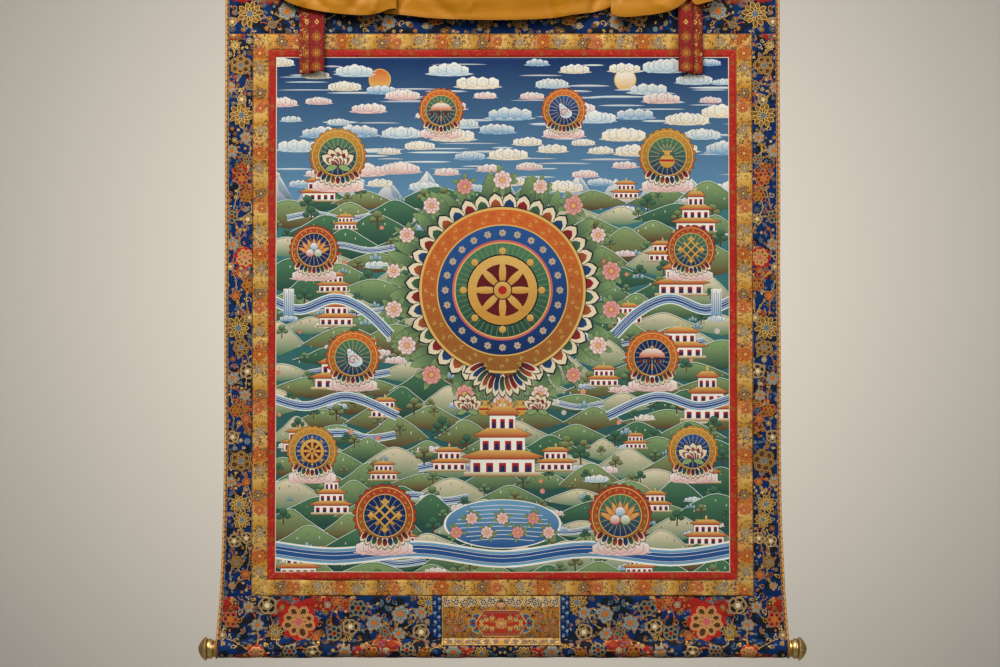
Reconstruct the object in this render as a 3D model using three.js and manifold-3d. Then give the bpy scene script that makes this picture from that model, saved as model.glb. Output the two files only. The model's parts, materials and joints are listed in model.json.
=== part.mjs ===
// A thangka scroll painting as it hangs: a painted canvas in red, gold and blue brocade borders,
// a brocade door patch, side bindings, a rolled lower hem with brass knobs, four ribbons and
// a silk veil gathered at the top edge.
// Millimetres. X is to the viewer's right, Z is up and the painted face looks along -Y.
// The origin is the middle of the top edge, on the back of the cloth.

import * as THREE from "three";
import { mergeVertices } from "three/addons/utils/BufferGeometryUtils.js";
import Module from "manifold-3d";

const wasm = await Module();
wasm.setup();

// Driving sizes of the nested cloth pieces
const PAINTING_WIDTH = 650;
const PAINTING_HEIGHT = 738;
const PAINTING_TOP = -143;
const RED_WIDTH = 10;
const GOLD_WIDTH = 23.5;
const CLOTH_HALF_WIDTH = 398;
const BINDING_WIDTH = 5;
const SEAM_GAP = 0.3;

// Lower hem: the wound roll, the piping ring at its end and the knob
const ROLL_RADIUS = 13.2;
const ROLL_HALF_LENGTH = 405.5;
const ROLL_CENTRE_Z = -989.6;
const RING_LENGTH = 3;
const RING_RADIUS = 14.2;
const RING_HOLE_RADIUS = 9.6;
const RING_LAP = 0.4;

// How the cloth hangs: it leans forward towards the roll and its sides flare near the bottom
const LEAN_AT_ROLL = 20;
const FLARE = 11;
const FLARE_START_Z = -640;
const FLARE_END_Z = ROLL_CENTRE_Z + ROLL_RADIUS;
const EDGE_WAVE = 1.8;
const EDGE_WAVE_LENGTH = 290;
const BELLY = 2.2;
const HEM_RIPPLE = 1.2;
const HEM_RIPPLE_LENGTH = 168;

// Depth of each layer in front of the hanging surface: its back face and its front face
const LAYER = {
  painting: { back: 0.4, front: 1.6 },
  red: { back: 0, front: 2.4 },
  gold: { back: 0, front: 2.2 },
  blue: { back: 0, front: 2 },
  binding: { back: -0.3, front: 2.7 },
  door: { back: 2.3, front: 3.5 },
};

// Door patch and the navy strip on each side of it
const DOOR_WIDTH = 169;
const DOOR_CENTRE_X = -2;
const DOOR_ROLL_ANGLE = 28;
const STRIP_WIDTH = 13;

// Ribbons, in pairs: one shows beside the other. depth is how far a ribbon hangs in front of the
// hanging surface, top the same at the top edge, swing its free end's and cup its cross curve.
const RIBBON_WIDTH = 22;
const RIBBON_THICKNESS = 1.2;
const RIBBON_SETTLE = 25;
const RIBBONS = [
  { name: "ribbon_left_back", left: -291.3, end: -167.4, top: 2.9, depth: 4.8, swing: 2.6, cup: 0.5 },
  { name: "ribbon_left_front", left: -277.1, end: -164.8, top: 4.6, depth: 7.4, swing: 3.6, cup: -0.5 },
  { name: "ribbon_right_back", left: 264.9, end: -167.7, top: 2.9, depth: 4.8, swing: 2.2, cup: 0.5 },
  { name: "ribbon_right_front", left: 251.8, end: -165.2, top: 4.6, depth: 7.4, swing: 3.2, cup: -0.5 },
];

// Veil: a row for each station along its hem, from left to right through its three folds.
// x is the station's place, top its place at the gathered edge, hem how far the hem hangs, depth
// how far the belly stands in front of the hanging surface, lift how far the top does so beyond
// the rest of the gathered edge and pleat how deep the gathers are there.
const VEIL_THICKNESS = 1;
const VEIL_TOP_Z = -1;
const VEIL_TOP_DEPTH = 9.4;
const VEIL_PLEATS = 17;
const VEIL_ROWS = 9;
const VEIL_STEPS = 2;
const VEIL_RIDGE = 0.02;
const VEIL = [
  { x: -350, top: -346, hem: 13, depth: 9.4, lift: 0, pleat: 0.5 },
  { x: -336, top: -334, hem: 38, depth: 10.6, lift: 0, pleat: 1.2 },
  { x: -315, top: -316, hem: 60, depth: 12, lift: 0, pleat: 1.4 },
  { x: -290, top: -293, hem: 71, depth: 13.8, lift: 0.4, pleat: 1.4 },
  { x: -255, top: -262, hem: 79, depth: 15.6, lift: 1, pleat: 1.4 },
  { x: -206, top: -216, hem: 84, depth: 17.5, lift: 2.4, pleat: 1.4 },
  { x: -180, top: -190, hem: 82, depth: 18, lift: 4, pleat: 1 },
  { x: -163, top: -170, hem: 76, depth: 18, lift: 5.6, pleat: 0.3 },
  { x: -152, top: -155, hem: 75, depth: 17, lift: 6, pleat: 0 },
  { x: -158, top: -159, hem: 78, depth: 12.5, lift: 3, pleat: 0 },
  { x: -170, top: -164, hem: 80, depth: 8.4, lift: 0.4, pleat: 0 },
  { x: -158, top: -157, hem: 81, depth: 7.6, lift: 0, pleat: 0 },
  { x: -134, top: -140, hem: 84, depth: 11, lift: 0, pleat: 0.8 },
  { x: -100, top: -108, hem: 88, depth: 15, lift: 0, pleat: 1.4 },
  { x: -50, top: -55, hem: 90.5, depth: 18, lift: 0.6, pleat: 1.4 },
  { x: 10, top: 10, hem: 91, depth: 19, lift: 1, pleat: 1.4 },
  { x: 60, top: 62, hem: 89, depth: 18, lift: 0.6, pleat: 1.4 },
  { x: 106, top: 110, hem: 82.5, depth: 14.5, lift: 0, pleat: 1.2 },
  { x: 134, top: 136, hem: 78, depth: 11, lift: 0, pleat: 0.6 },
  { x: 150, top: 150, hem: 73, depth: 8.2, lift: 0, pleat: 0 },
  { x: 163, top: 160, hem: 66, depth: 7.8, lift: 0.4, pleat: 0 },
  { x: 156, top: 157, hem: 75, depth: 12.5, lift: 3.2, pleat: 0 },
  { x: 157, top: 155, hem: 83, depth: 17, lift: 6, pleat: 0 },
  { x: 174, top: 172, hem: 87, depth: 18.5, lift: 5, pleat: 0.6 },
  { x: 202, top: 200, hem: 84.5, depth: 17.5, lift: 2.6, pleat: 1.2 },
  { x: 235, top: 232, hem: 79, depth: 15.4, lift: 1, pleat: 1 },
  { x: 254, top: 251, hem: 70, depth: 13.6, lift: 0.4, pleat: 0.5 },
  { x: 268, top: 265, hem: 58, depth: 12.8, lift: 0, pleat: 0 },
  { x: 278, top: 273, hem: 54, depth: 12.6, lift: 0.4, pleat: 0 },
  { x: 271, top: 270, hem: 62, depth: 16.6, lift: 3.4, pleat: 0 },
  { x: 277, top: 275, hem: 69, depth: 18.6, lift: 6, pleat: 0 },
  { x: 291, top: 288, hem: 66, depth: 17, lift: 4.4, pleat: 0.6 },
  { x: 306, top: 302, hem: 60, depth: 14.5, lift: 2, pleat: 1 },
  { x: 322, top: 318, hem: 44, depth: 11.5, lift: 0.6, pleat: 1 },
  { x: 336, top: 332, hem: 14, depth: 9.4, lift: 0, pleat: 0.5 },
];

// Knob profile: distance outwards from the roll's end against radius
const KNOB_PROFILE = [
  { out: 0, radius: 0 },
  { out: 0, radius: 9.1 },
  { out: 3.5, radius: 9.1 },
  { out: 3.5, radius: 11.9 },
  { out: 4.6, radius: 12.3 },
  { out: 5.4, radius: 11.4 },
  { out: 6.4, radius: 11.8 },
  { out: 8.2, radius: 13.4 },
  { out: 10, radius: 14.2 },
  { out: 11.8, radius: 14.4 },
  { out: 13.4, radius: 14 },
  { out: 14.2, radius: 13.6 },
  { out: 15.2, radius: 14.2 },
  { out: 16.2, radius: 16.2 },
  { out: 17.2, radius: 16.9 },
  { out: 18.2, radius: 16.4 },
  { out: 20.6, radius: 14.6 },
  { out: 23, radius: 12 },
  { out: 25.2, radius: 9 },
  { out: 27, radius: 5.6 },
  { out: 28.1, radius: 2.4 },
  { out: 28.4, radius: 0 },
];
const KNOB_SIDES = 24;

// Edges worked out from the driving sizes
const painting = {
  half: PAINTING_WIDTH / 2,
  top: PAINTING_TOP,
  bottom: PAINTING_TOP - PAINTING_HEIGHT,
};
const red = grown(painting, RED_WIDTH);
const gold = grown(red, GOLD_WIDTH);

const clamp01 = (t) => Math.min(1, Math.max(0, t));
const smooth = (t) => clamp01(t) ** 2 * (3 - 2 * clamp01(t));
const mix = (a, b, t) => a + (b - a) * t;

// A rectangle that is wider than another by a border on every side
function grown(edges, border) {
  return { half: edges.half + border, top: edges.top + border, bottom: edges.bottom - border };
}

// Half the width of the whole cloth at a height
function halfWidthAt(z) {
  const t = clamp01((z - FLARE_START_Z) / (FLARE_END_Z - FLARE_START_Z));
  return CLOTH_HALF_WIDTH + FLARE * t ** 3;
}

// How far forward the hanging surface stands at a place
function hangAt(x, z) {
  const down = clamp01(z / FLARE_END_Z);
  const nearEdge = smooth((Math.abs(x) - painting.half) / (CLOTH_HALF_WIDTH - painting.half));
  const held = smooth(down * 5) * smooth((1 - down) * 9);
  const side = x < 0 ? 0.4 : 2.1;
  const wave = EDGE_WAVE * nearEdge * Math.sin((2 * Math.PI * z) / EDGE_WAVE_LENGTH + side);
  const across = Math.cos((Math.PI * clamp01(Math.abs(x) / CLOTH_HALF_WIDTH)) / 2);
  const belly = BELLY * across * Math.sin(Math.PI * down);
  const nearHem = smooth((down - 0.86) / 0.08);
  const ripple = HEM_RIPPLE * nearHem * Math.sin((2 * Math.PI * x) / HEM_RIPPLE_LENGTH + 0.9);
  return LEAN_AT_ROLL * down + (wave + belly + ripple) * held;
}

// A closed sheet over a grid, from the points of its front and back faces
function sheet(columns, rows, frontAt, backAt) {
  const positions = [];
  const index = [];
  const faceSize = (columns + 1) * (rows + 1);
  for (const pointAt of [frontAt, backAt]) {
    for (let j = 0; j <= rows; j += 1) {
      for (let i = 0; i <= columns; i += 1) {
        positions.push(...pointAt(i / columns, j / rows));
      }
    }
  }
  const at = (i, j, face) => face * faceSize + j * (columns + 1) + i;
  const quad = (a, b, c, d) => index.push(a, b, c, a, c, d);
  for (let j = 0; j < rows; j += 1) {
    for (let i = 0; i < columns; i += 1) {
      quad(at(i, j, 0), at(i, j + 1, 0), at(i + 1, j + 1, 0), at(i + 1, j, 0));
      quad(at(i, j, 1), at(i + 1, j, 1), at(i + 1, j + 1, 1), at(i, j + 1, 1));
    }
  }
  for (let i = 0; i < columns; i += 1) {
    quad(at(i, 0, 0), at(i + 1, 0, 0), at(i + 1, 0, 1), at(i, 0, 1));
    quad(at(i, rows, 0), at(i, rows, 1), at(i + 1, rows, 1), at(i + 1, rows, 0));
  }
  for (let j = 0; j < rows; j += 1) {
    quad(at(0, j, 0), at(0, j, 1), at(0, j + 1, 1), at(0, j + 1, 0));
    quad(at(columns, j, 0), at(columns, j + 1, 0), at(columns, j + 1, 1), at(columns, j, 1));
  }
  const geometry = new THREE.BufferGeometry();
  geometry.setAttribute("position", new THREE.Float32BufferAttribute(positions, 3));
  geometry.setIndex(index);
  geometry.computeVertexNormals();
  return geometry;
}

// A sheet that lies on the hanging surface, with its outline given by a map to x and z
function flatSheet(columns, rows, layer, placeAt) {
  const faceAt = (depth) => (a, b) => {
    const { x, z } = placeAt(a, b);
    return [x, -(hangAt(x, z) + depth), z];
  };
  return sheet(columns, rows, faceAt(layer.front), faceAt(layer.back));
}

// A map over four corners, given as top left, top right, bottom left and bottom right
function corners(topLeft, topRight, bottomLeft, bottomRight) {
  return (a, b) => ({
    x: mix(mix(topLeft[0], topRight[0], a), mix(bottomLeft[0], bottomRight[0], a), b),
    z: mix(mix(topLeft[1], topRight[1], a), mix(bottomLeft[1], bottomRight[1], a), b),
  });
}

// The four mitred strips of a border between an inner and an outer rectangle
function borderStrips(name, inner, outer, layer, material) {
  const near = SEAM_GAP / 2;
  const mitre = near * Math.SQRT2;
  const i = { half: inner.half + near, top: inner.top + near, bottom: inner.bottom - near };
  const o = { half: outer.half - near, top: outer.top - near, bottom: outer.bottom + near };
  const columns = 16;
  const strips = {
    top: corners([-o.half + mitre, o.top], [o.half - mitre, o.top],
      [-i.half + mitre, i.top], [i.half - mitre, i.top]),
    bottom: corners([-i.half + mitre, i.bottom], [i.half - mitre, i.bottom],
      [-o.half + mitre, o.bottom], [o.half - mitre, o.bottom]),
    left: corners([-o.half, o.top - mitre], [-i.half, i.top - mitre],
      [-o.half, o.bottom + mitre], [-i.half, i.bottom + mitre]),
    right: corners([i.half, i.top - mitre], [o.half, o.top - mitre],
      [i.half, i.bottom + mitre], [o.half, o.bottom + mitre]),
  };
  return Object.entries(strips).map(([side, placeAt]) => {
    const upright = side === "left" || side === "right";
    const grid = upright ? [2, columns] : [columns, 2];
    return mesh(`${name}_${side}`, flatSheet(...grid, layer, placeAt), material);
  });
}

function mesh(name, geometry, material) {
  const made = new THREE.Mesh(geometry, material);
  made.name = name;
  return made;
}

// A geometry as a solid whose shared points are merged, for joining
function solidOf(geometry) {
  const bare = new THREE.BufferGeometry();
  bare.setAttribute("position", geometry.getAttribute("position"));
  bare.setIndex(geometry.index);
  const merged = mergeVertices(bare, 1e-3);
  const vertProperties = new Float32Array(merged.getAttribute("position").array);
  const triVerts = new Uint32Array(merged.index.array);
  return new wasm.Manifold(new wasm.Mesh({ numProp: 3, vertProperties, triVerts }));
}

// Two overlapping geometries joined into one
function joined(first, second) {
  const made = solidOf(first).add(solidOf(second)).getMesh();
  const geometry = new THREE.BufferGeometry();
  geometry.setAttribute("position", new THREE.Float32BufferAttribute(made.vertProperties, 3));
  geometry.setIndex(Array.from(made.triVerts));
  geometry.computeVertexNormals();
  return geometry;
}

// A turned shape about the roll's axis, from rows of distance outwards and radius
function turned(rows, sides, direction, start) {
  const profile = rows.map(({ out, radius }) => new THREE.Vector2(radius, out));
  const geometry = new THREE.LatheGeometry(profile, sides);
  geometry.rotateZ(-Math.PI / 2);
  if (direction < 0) {
    geometry.rotateY(Math.PI);
  }
  geometry.translate(direction * start, -LEAN_AT_ROLL - LAYER.blue.front / 2, ROLL_CENTRE_Z);
  return geometry;
}

const cloth = (color, roughness) => new THREE.MeshStandardMaterial({ color, roughness, metalness: 0 });
const MATERIALS = {
  painting: cloth(0x4f6f5c, 0.85),
  red: cloth(0xa81f26, 0.6),
  gold: cloth(0xc79a4b, 0.55),
  blue: cloth(0x16294f, 0.5),
  binding: cloth(0xb4661e, 0.55),
  ribbon: cloth(0x9e1c28, 0.55),
  veil: cloth(0xc98a1e, 0.5),
  knob: new THREE.MeshStandardMaterial({ color: 0xa07a3c, roughness: 0.35, metalness: 1 }),
};

function paintingSheet() {
  const inset = SEAM_GAP / 2;
  const half = painting.half - inset;
  const top = painting.top - inset;
  const bottom = painting.bottom + inset;
  const placeAt = corners([-half, top], [half, top], [-half, bottom], [half, bottom]);
  return mesh("painting", flatSheet(12, 14, LAYER.painting, placeAt), MATERIALS.painting);
}

function bluePanels() {
  const near = SEAM_GAP / 2;
  const outerAt = (z) => halfWidthAt(z) - BINDING_WIDTH - SEAM_GAP;
  const top = outerAt(0);
  const topPlace = corners([-top, 0], [top, 0], [-top, gold.top + near], [top, gold.top + near]);
  const sides = [-1, 1].map((side) => {
    const placeAt = (a, b) => {
      const z = mix(gold.top - near, gold.bottom + near, b);
      const inner = gold.half + near;
      const across = side < 0 ? 1 - a : a;
      return { x: side * mix(inner, outerAt(z), across), z };
    };
    const name = side < 0 ? "blue_panel_left" : "blue_panel_right";
    return mesh(name, flatSheet(3, 24, LAYER.blue, placeAt), MATERIALS.blue);
  });
  return [
    mesh("blue_panel_top", flatSheet(16, 3, LAYER.blue, topPlace), MATERIALS.blue),
    ...sides,
    mesh("blue_panel_bottom", bottomPanel(outerAt), MATERIALS.blue),
  ];
}

// The lower brocade with its hem wound into the roll
function bottomPanel(outerAt) {
  const top = gold.bottom - SEAM_GAP / 2;
  const end = ROLL_CENTRE_Z + ROLL_RADIUS / 2;
  const placeAt = (a, b) => {
    const z = mix(top, end, b);
    return { x: mix(-1, 1, a) * Math.min(outerAt(z), ROLL_HALF_LENGTH - SEAM_GAP), z };
  };
  const panel = flatSheet(28, 6, LAYER.blue, placeAt);
  const stations = 24;
  const rows = [{ out: 0, radius: 0 }];
  for (let i = 0; i <= stations; i += 1) {
    const t = i / stations;
    const bulge = 0.25 * Math.sin(t * 19) + 0.2 * Math.sin(t * 47 + 1);
    rows.push({ out: t * 2 * ROLL_HALF_LENGTH, radius: ROLL_RADIUS + bulge - 0.3 });
  }
  rows.push({ out: 2 * ROLL_HALF_LENGTH, radius: 0 });
  return joined(panel, turned(rows, 24, 1, -ROLL_HALF_LENGTH));
}

// The door patch runs down the lower panel and over the upper front of the roll
function doorPieces() {
  const top = gold.bottom - SEAM_GAP / 2;
  const centreDepth = LEAN_AT_ROLL + LAYER.blue.front / 2;
  const turnZ = ROLL_CENTRE_Z + ROLL_RADIUS + 4;
  const flat = 0.72;
  const faceAt = (depth) => (a, b) => {
    const x = DOOR_CENTRE_X + mix(-0.5, 0.5, a) * DOOR_WIDTH;
    if (b <= flat) {
      const z = mix(top, turnZ, b / flat);
      return [x, -(hangAt(x, z) + depth), z];
    }
    const t = (b - flat) / (1 - flat);
    const angle = THREE.MathUtils.degToRad(mix(76, DOOR_ROLL_ANGLE, t));
    const radius = ROLL_RADIUS + 0.5 + depth - LAYER.door.back;
    const overRoll = centreDepth + radius * Math.cos(angle);
    const z = ROLL_CENTRE_Z + radius * Math.sin(angle);
    return [x, -overRoll, z];
  };
  const patch = sheet(10, 12, faceAt(LAYER.door.front), faceAt(LAYER.door.back));
  const strips = [-1, 1].map((side) => {
    const inner = DOOR_CENTRE_X + side * (DOOR_WIDTH / 2 + SEAM_GAP);
    const outer = inner + side * STRIP_WIDTH;
    const left = Math.min(inner, outer);
    const right = Math.max(inner, outer);
    const end = ROLL_CENTRE_Z + ROLL_RADIUS + 2;
    const placeAt = corners([left, top], [right, top], [left, end], [right, end]);
    const name = side < 0 ? "door_strip_left" : "door_strip_right";
    return mesh(name, flatSheet(2, 6, LAYER.door, placeAt), MATERIALS.blue);
  });
  return [mesh("door_patch", patch, MATERIALS.gold), ...strips];
}

// A binding runs down a side edge and round the end of the roll
function bindings() {
  return [-1, 1].map((side) => {
    const end = ROLL_CENTRE_Z + RING_RADIUS - RING_LAP;
    const placeAt = (a, b) => {
      const z = mix(0, end, b);
      const outer = Math.max(halfWidthAt(z), CLOTH_HALF_WIDTH);
      const across = side < 0 ? 1 - a : a;
      return { x: side * mix(outer - BINDING_WIDTH, outer, across), z };
    };
    const edge = flatSheet(1, 40, LAYER.binding, placeAt);
    const ring = turned([
      { out: 0, radius: RING_HOLE_RADIUS },
      { out: 0, radius: RING_RADIUS - 0.8 },
      { out: 0.8, radius: RING_RADIUS },
      { out: RING_LENGTH - 0.8, radius: RING_RADIUS },
      { out: RING_LENGTH, radius: RING_RADIUS - 0.8 },
      { out: RING_LENGTH, radius: RING_HOLE_RADIUS },
      { out: 0, radius: RING_HOLE_RADIUS },
    ], 24, side, ROLL_HALF_LENGTH + SEAM_GAP);
    const name = side < 0 ? "side_binding_left" : "side_binding_right";
    return mesh(name, joined(edge, ring), MATERIALS.binding);
  });
}

function ribbons() {
  return RIBBONS.map(({ name, left, end, top, depth, swing, cup }) => {
    const faceAt = (offset) => (a, b) => {
      const x = left + a * RIBBON_WIDTH;
      const z = mix(0, end, b);
      const settled = mix(top, depth, smooth(-z / RIBBON_SETTLE));
      const bow = swing * smooth((b - 0.42) / 0.58) * Math.sin(b * 2.2);
      const curl = cup * Math.cos((a - 0.5) * Math.PI) * Math.sin(z / -60);
      return [x, -(hangAt(x, z) + settled + bow + curl + offset), z];
    };
    const half = RIBBON_THICKNESS / 2;
    return mesh(name, sheet(4, 14, faceAt(half), faceAt(-half)), MATERIALS.ribbon);
  });
}

// A smooth value between the rows of the veil's table, at a place counted in rows
function veilAt(key, place) {
  const last = VEIL.length - 1;
  const first = Math.min(last - 1, Math.floor(place));
  const [a, b, c, d] = [-1, 0, 1, 2].map((step) => {
    return VEIL[Math.min(last, Math.max(0, first + step))][key];
  });
  const t = place - first;
  return b + 0.5 * t * (c - a + t * (2 * a - 5 * b + 4 * c - d + t * (3 * (b - c) + d - a)));
}

// The veil's middle surface, as a point for a place along it and a place down it
function veilPoint(along, down) {
  const place = clamp01(along) * (VEIL.length - 1);
  const hem = veilAt("hem", place);
  const x = mix(veilAt("top", place), veilAt("x", place), smooth(down * 1.3));
  const z = VEIL_TOP_Z - hem * down;
  const gather = veilAt("pleat", place) * (1 - down) ** 2;
  const pleat = gather * Math.sin(2 * Math.PI * VEIL_PLEATS * along);
  const top = VEIL_TOP_DEPTH + veilAt("lift", place);
  const belly = Math.sin((Math.PI * clamp01(down * 0.94)) / 1.25);
  const ridge = VEIL_RIDGE * hem * Math.sin(down * 15 + along * 9) * Math.sin(Math.PI * down);
  const forward = mix(top, veilAt("depth", place), belly) + pleat + ridge;
  return new THREE.Vector3(x, -(hangAt(x, z) + forward), z);
}

function veil() {
  const columns = (VEIL.length - 1) * VEIL_STEPS;
  const near = 1e-3;
  const faceAt = (offset) => (a, b) => {
    const here = veilPoint(a, b);
    const along = veilPoint(a + near, b).sub(veilPoint(a - near, b));
    const down = veilPoint(a, Math.min(1, b + near)).sub(veilPoint(a, Math.max(0, b - near)));
    const normal = down.cross(along).normalize();
    return here.addScaledVector(normal, offset).toArray();
  };
  const half = VEIL_THICKNESS / 2;
  return mesh("veil", sheet(columns, VEIL_ROWS, faceAt(half), faceAt(-half)), MATERIALS.veil);
}

function knobs() {
  return [-1, 1].map((side) => {
    const name = side < 0 ? "knob_left" : "knob_right";
    const geometry = turned(KNOB_PROFILE, KNOB_SIDES, side, ROLL_HALF_LENGTH + SEAM_GAP);
    return mesh(name, geometry, MATERIALS.knob);
  });
}

const group = new THREE.Group();
const borders = new THREE.Group();
borders.add(
  ...borderStrips("red_border", painting, red, LAYER.red, MATERIALS.red),
  ...borderStrips("gold_border", red, gold, LAYER.gold, MATERIALS.gold),
);
const surround = new THREE.Group();
surround.add(...bluePanels(), ...doorPieces(), ...bindings());
const hangings = new THREE.Group();
hangings.add(...ribbons(), veil());
group.add(paintingSheet(), borders, surround, hangings, ...knobs());

export default group;
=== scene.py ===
"""A thangka scroll painting as it hangs: canvas, brocade borders, veil, ribbons, roll and knobs.

Sizes are millimetres, X to the viewer's right and Z up, and the painted face looks along -Y.
The origin is the middle of the top edge, on the back of the cloth. Meshes are written in metres.
"""

from __future__ import annotations

import json
import logging
import math
import random
from dataclasses import dataclass
from enum import Enum
from itertools import chain, starmap
from typing import Callable, NamedTuple, Sequence

import bpy
import numpy as np
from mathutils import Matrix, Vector
from mathutils.geometry import delaunay_2d_cdt

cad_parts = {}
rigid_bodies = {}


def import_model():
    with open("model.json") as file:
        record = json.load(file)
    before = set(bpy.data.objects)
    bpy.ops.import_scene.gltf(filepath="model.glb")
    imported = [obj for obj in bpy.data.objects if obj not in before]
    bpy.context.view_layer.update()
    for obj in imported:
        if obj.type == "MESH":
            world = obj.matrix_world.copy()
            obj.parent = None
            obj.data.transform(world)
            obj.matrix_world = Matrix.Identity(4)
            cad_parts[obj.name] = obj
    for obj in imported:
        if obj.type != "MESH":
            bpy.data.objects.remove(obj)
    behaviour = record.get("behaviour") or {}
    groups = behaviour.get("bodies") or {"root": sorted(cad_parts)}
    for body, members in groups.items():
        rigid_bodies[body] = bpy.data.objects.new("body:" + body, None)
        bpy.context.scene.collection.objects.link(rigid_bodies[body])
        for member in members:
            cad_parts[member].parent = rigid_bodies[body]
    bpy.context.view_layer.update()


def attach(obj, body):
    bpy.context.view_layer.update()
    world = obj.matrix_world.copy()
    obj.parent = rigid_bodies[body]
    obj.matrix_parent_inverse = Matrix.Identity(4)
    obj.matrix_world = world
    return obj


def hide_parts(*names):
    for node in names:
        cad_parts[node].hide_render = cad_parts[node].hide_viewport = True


logging.basicConfig(level=logging.INFO, format="%(message)s")
log = logging.getLogger("thangka")

Point = tuple[float, float]
Path = list[Point]
Place = Callable[[np.ndarray, np.ndarray, np.ndarray], np.ndarray]
Lines = dict[tuple[int, int], int]
Space = tuple[float, float, float]

METRE = 1000
TAU = math.tau

# Edges sharper than these angles, in degrees, stay sharp in the shading
SHEET_ANGLE = 50
TUBE_ANGLE = 60
KNOB_ANGLE = 38

# Driving sizes of the nested cloth pieces
PAINTING_HALF = 325
PAINTING_TOP = -143
PAINTING_BOTTOM = -881
RED_WIDTH = 10
GOLD_WIDTH = 23.5
CLOTH_HALF_WIDTH = 398
BINDING_WIDTH = 5
SEAM_GAP = 0.3

# Lower hem
ROLL_RADIUS = 13.2
ROLL_HALF_LENGTH = 405.5
ROLL_CENTRE_Z = -989.6
ROLL_DEPTH = 21
RING_RADIUS = 14.2

# Forward lean of the cloth and the flare of its sides
LEAN_AT_ROLL = 20
FLARE = 11
FLARE_START_Z = -640
FLARE_END_Z = ROLL_CENTRE_Z + ROLL_RADIUS
FLARE_HEIGHT = FLARE_END_Z - FLARE_START_Z

# Door patch on the lower panel
DOOR_CENTRE_X = -2
DOOR_WIDTH = 169
STRIP_WIDTH = 13


def smooth(t: np.ndarray | float) -> np.ndarray | float:
    """Eases from 0 to 1.

    Args:
        t: a share, held between 0 and 1.

    Returns:
        The eased share.
    """
    held = np.clip(t, 0, 1)
    return held * held * (3 - 2 * held)


def mix(a: float, b: float, t: float) -> float:
    """Returns the value a share t of the way from a to b."""
    return a + (b - a) * t


def half_width_at(z: np.ndarray | float) -> np.ndarray | float:
    """Returns half the width of the whole cloth at a height."""
    return CLOTH_HALF_WIDTH + FLARE * np.clip((z - FLARE_START_Z) / FLARE_HEIGHT, 0, 1) ** 3


def hang_at(x: np.ndarray, z: np.ndarray) -> np.ndarray:
    """How far forward the hanging surface stands.

    Args:
        x: places across the cloth.
        z: heights.

    Returns:
        The depth in front of the wall, at each place.
    """
    down = np.clip(z / FLARE_END_Z, 0, 1)
    near_edge = smooth((np.abs(x) - PAINTING_HALF) / (CLOTH_HALF_WIDTH - PAINTING_HALF))
    held = smooth(down * 5) * smooth((1 - down) * 9)
    side = np.where(x < 0, 0.4, 2.1)
    wave = 1.8 * near_edge * np.sin(TAU * z / 290 + side)
    across = np.cos(math.pi * np.clip(np.abs(x) / CLOTH_HALF_WIDTH, 0, 1) / 2)
    belly = 2.2 * across * np.sin(math.pi * down)
    near_hem = smooth((down - 0.86) / 0.08)
    ripple = 1.2 * near_hem * np.sin(TAU * x / 168 + 0.9)
    return LEAN_AT_ROLL * down + (wave + belly + ripple) * held


def on_cloth(x: np.ndarray, v: np.ndarray, depth: np.ndarray) -> np.ndarray:
    """Places a flat pattern on the hanging surface.

    Args:
        x: places across the pattern.
        v: heights in the pattern.
        depth: depths in front of the hanging surface.

    Returns:
        Points in space, a row for each place.
    """
    return np.stack([x, -(hang_at(x, v) + depth), v], axis=1)


class Dye(Enum):
    """Dyes and pigments, as red, green and blue in hexadecimal."""

    INK = 0x141A26
    NAVY = 0x092A5A
    BLUE = 0x245089
    SKY = 0x6C9DBB
    PALE = 0xB4C8CC
    SLATE = 0x63747E
    WHITE = 0xEFE9DC
    CREAM = 0xE2D2B0
    STRAW = 0xD9AE5E
    GOLD = 0xC18A35
    OCHRE = 0x8C5F28
    AMBER = 0xC07230
    BROWN = 0x55361F
    ORANGE = 0xCB6327
    EMBER = 0xA93A20
    CRIMSON = 0xAE261E
    RUBY = 0x861C17
    WINE = 0x5E1118
    ROSE = 0xC4625F
    PINK = 0xE3B2A4
    LEAF = 0x87A068
    GREEN = 0x4B7753
    FOREST = 0x22443A
    TEAL = 0x3A7476
    MIST = 0xC8D2BF
    SAFFRON = 0xBA7802

    @property
    def linear(self) -> np.ndarray:
        """Returns the colour as three linear shares of light."""
        parts = np.array([self.value >> 16, self.value >> 8 & 255, self.value & 255]) / 255
        return np.where(parts <= 0.04045, parts / 12.92, ((parts + 0.055) / 1.055) ** 2.4)


class Paint(NamedTuple):
    """What fills a shape: a dye, the dye it shades into, and its share of metal thread."""

    tone: Dye
    shade: Dye | None = None
    metal: float = 0.0


def ring(centre: Point, radius: float, count: int = 14, squash: float = 1, turn: float = 0) -> Path:
    """Points round a circle or an ellipse.

    Args:
        centre: its middle.
        radius: its half width.
        count: how many points.
        squash: its height as a share of its width.
        turn: the angle of its first point.

    Returns:
        The closed outline.
    """
    angles = [turn + TAU * k / count for k in range(count)]
    return [(centre[0] + radius * math.cos(a), centre[1] + radius * squash * math.sin(a)) for a in angles]


def scallops(centre: Point, radius: float, lobes: int, depth: float = 0.2, squash: float = 1,
             turn: float = 0) -> Path:
    """A closed outline of round lobes that meet in cusps.

    Args:
        centre: its middle.
        radius: its half width.
        lobes: how many lobes.
        depth: how deep the cusps are, as a share of the radius.
        squash: its height as a share of its width.
        turn: the angle of its first cusp.

    Returns:
        The outline.
    """
    steps = 4
    points = []
    for k in range(lobes * steps):
        reach = radius * (1 - depth * (1 - abs(math.sin(math.pi * k / steps))))
        angle = turn + TAU * k / (lobes * steps)
        points.append((centre[0] + reach * math.cos(angle), centre[1] + reach * squash * math.sin(angle)))
    return points


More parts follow.
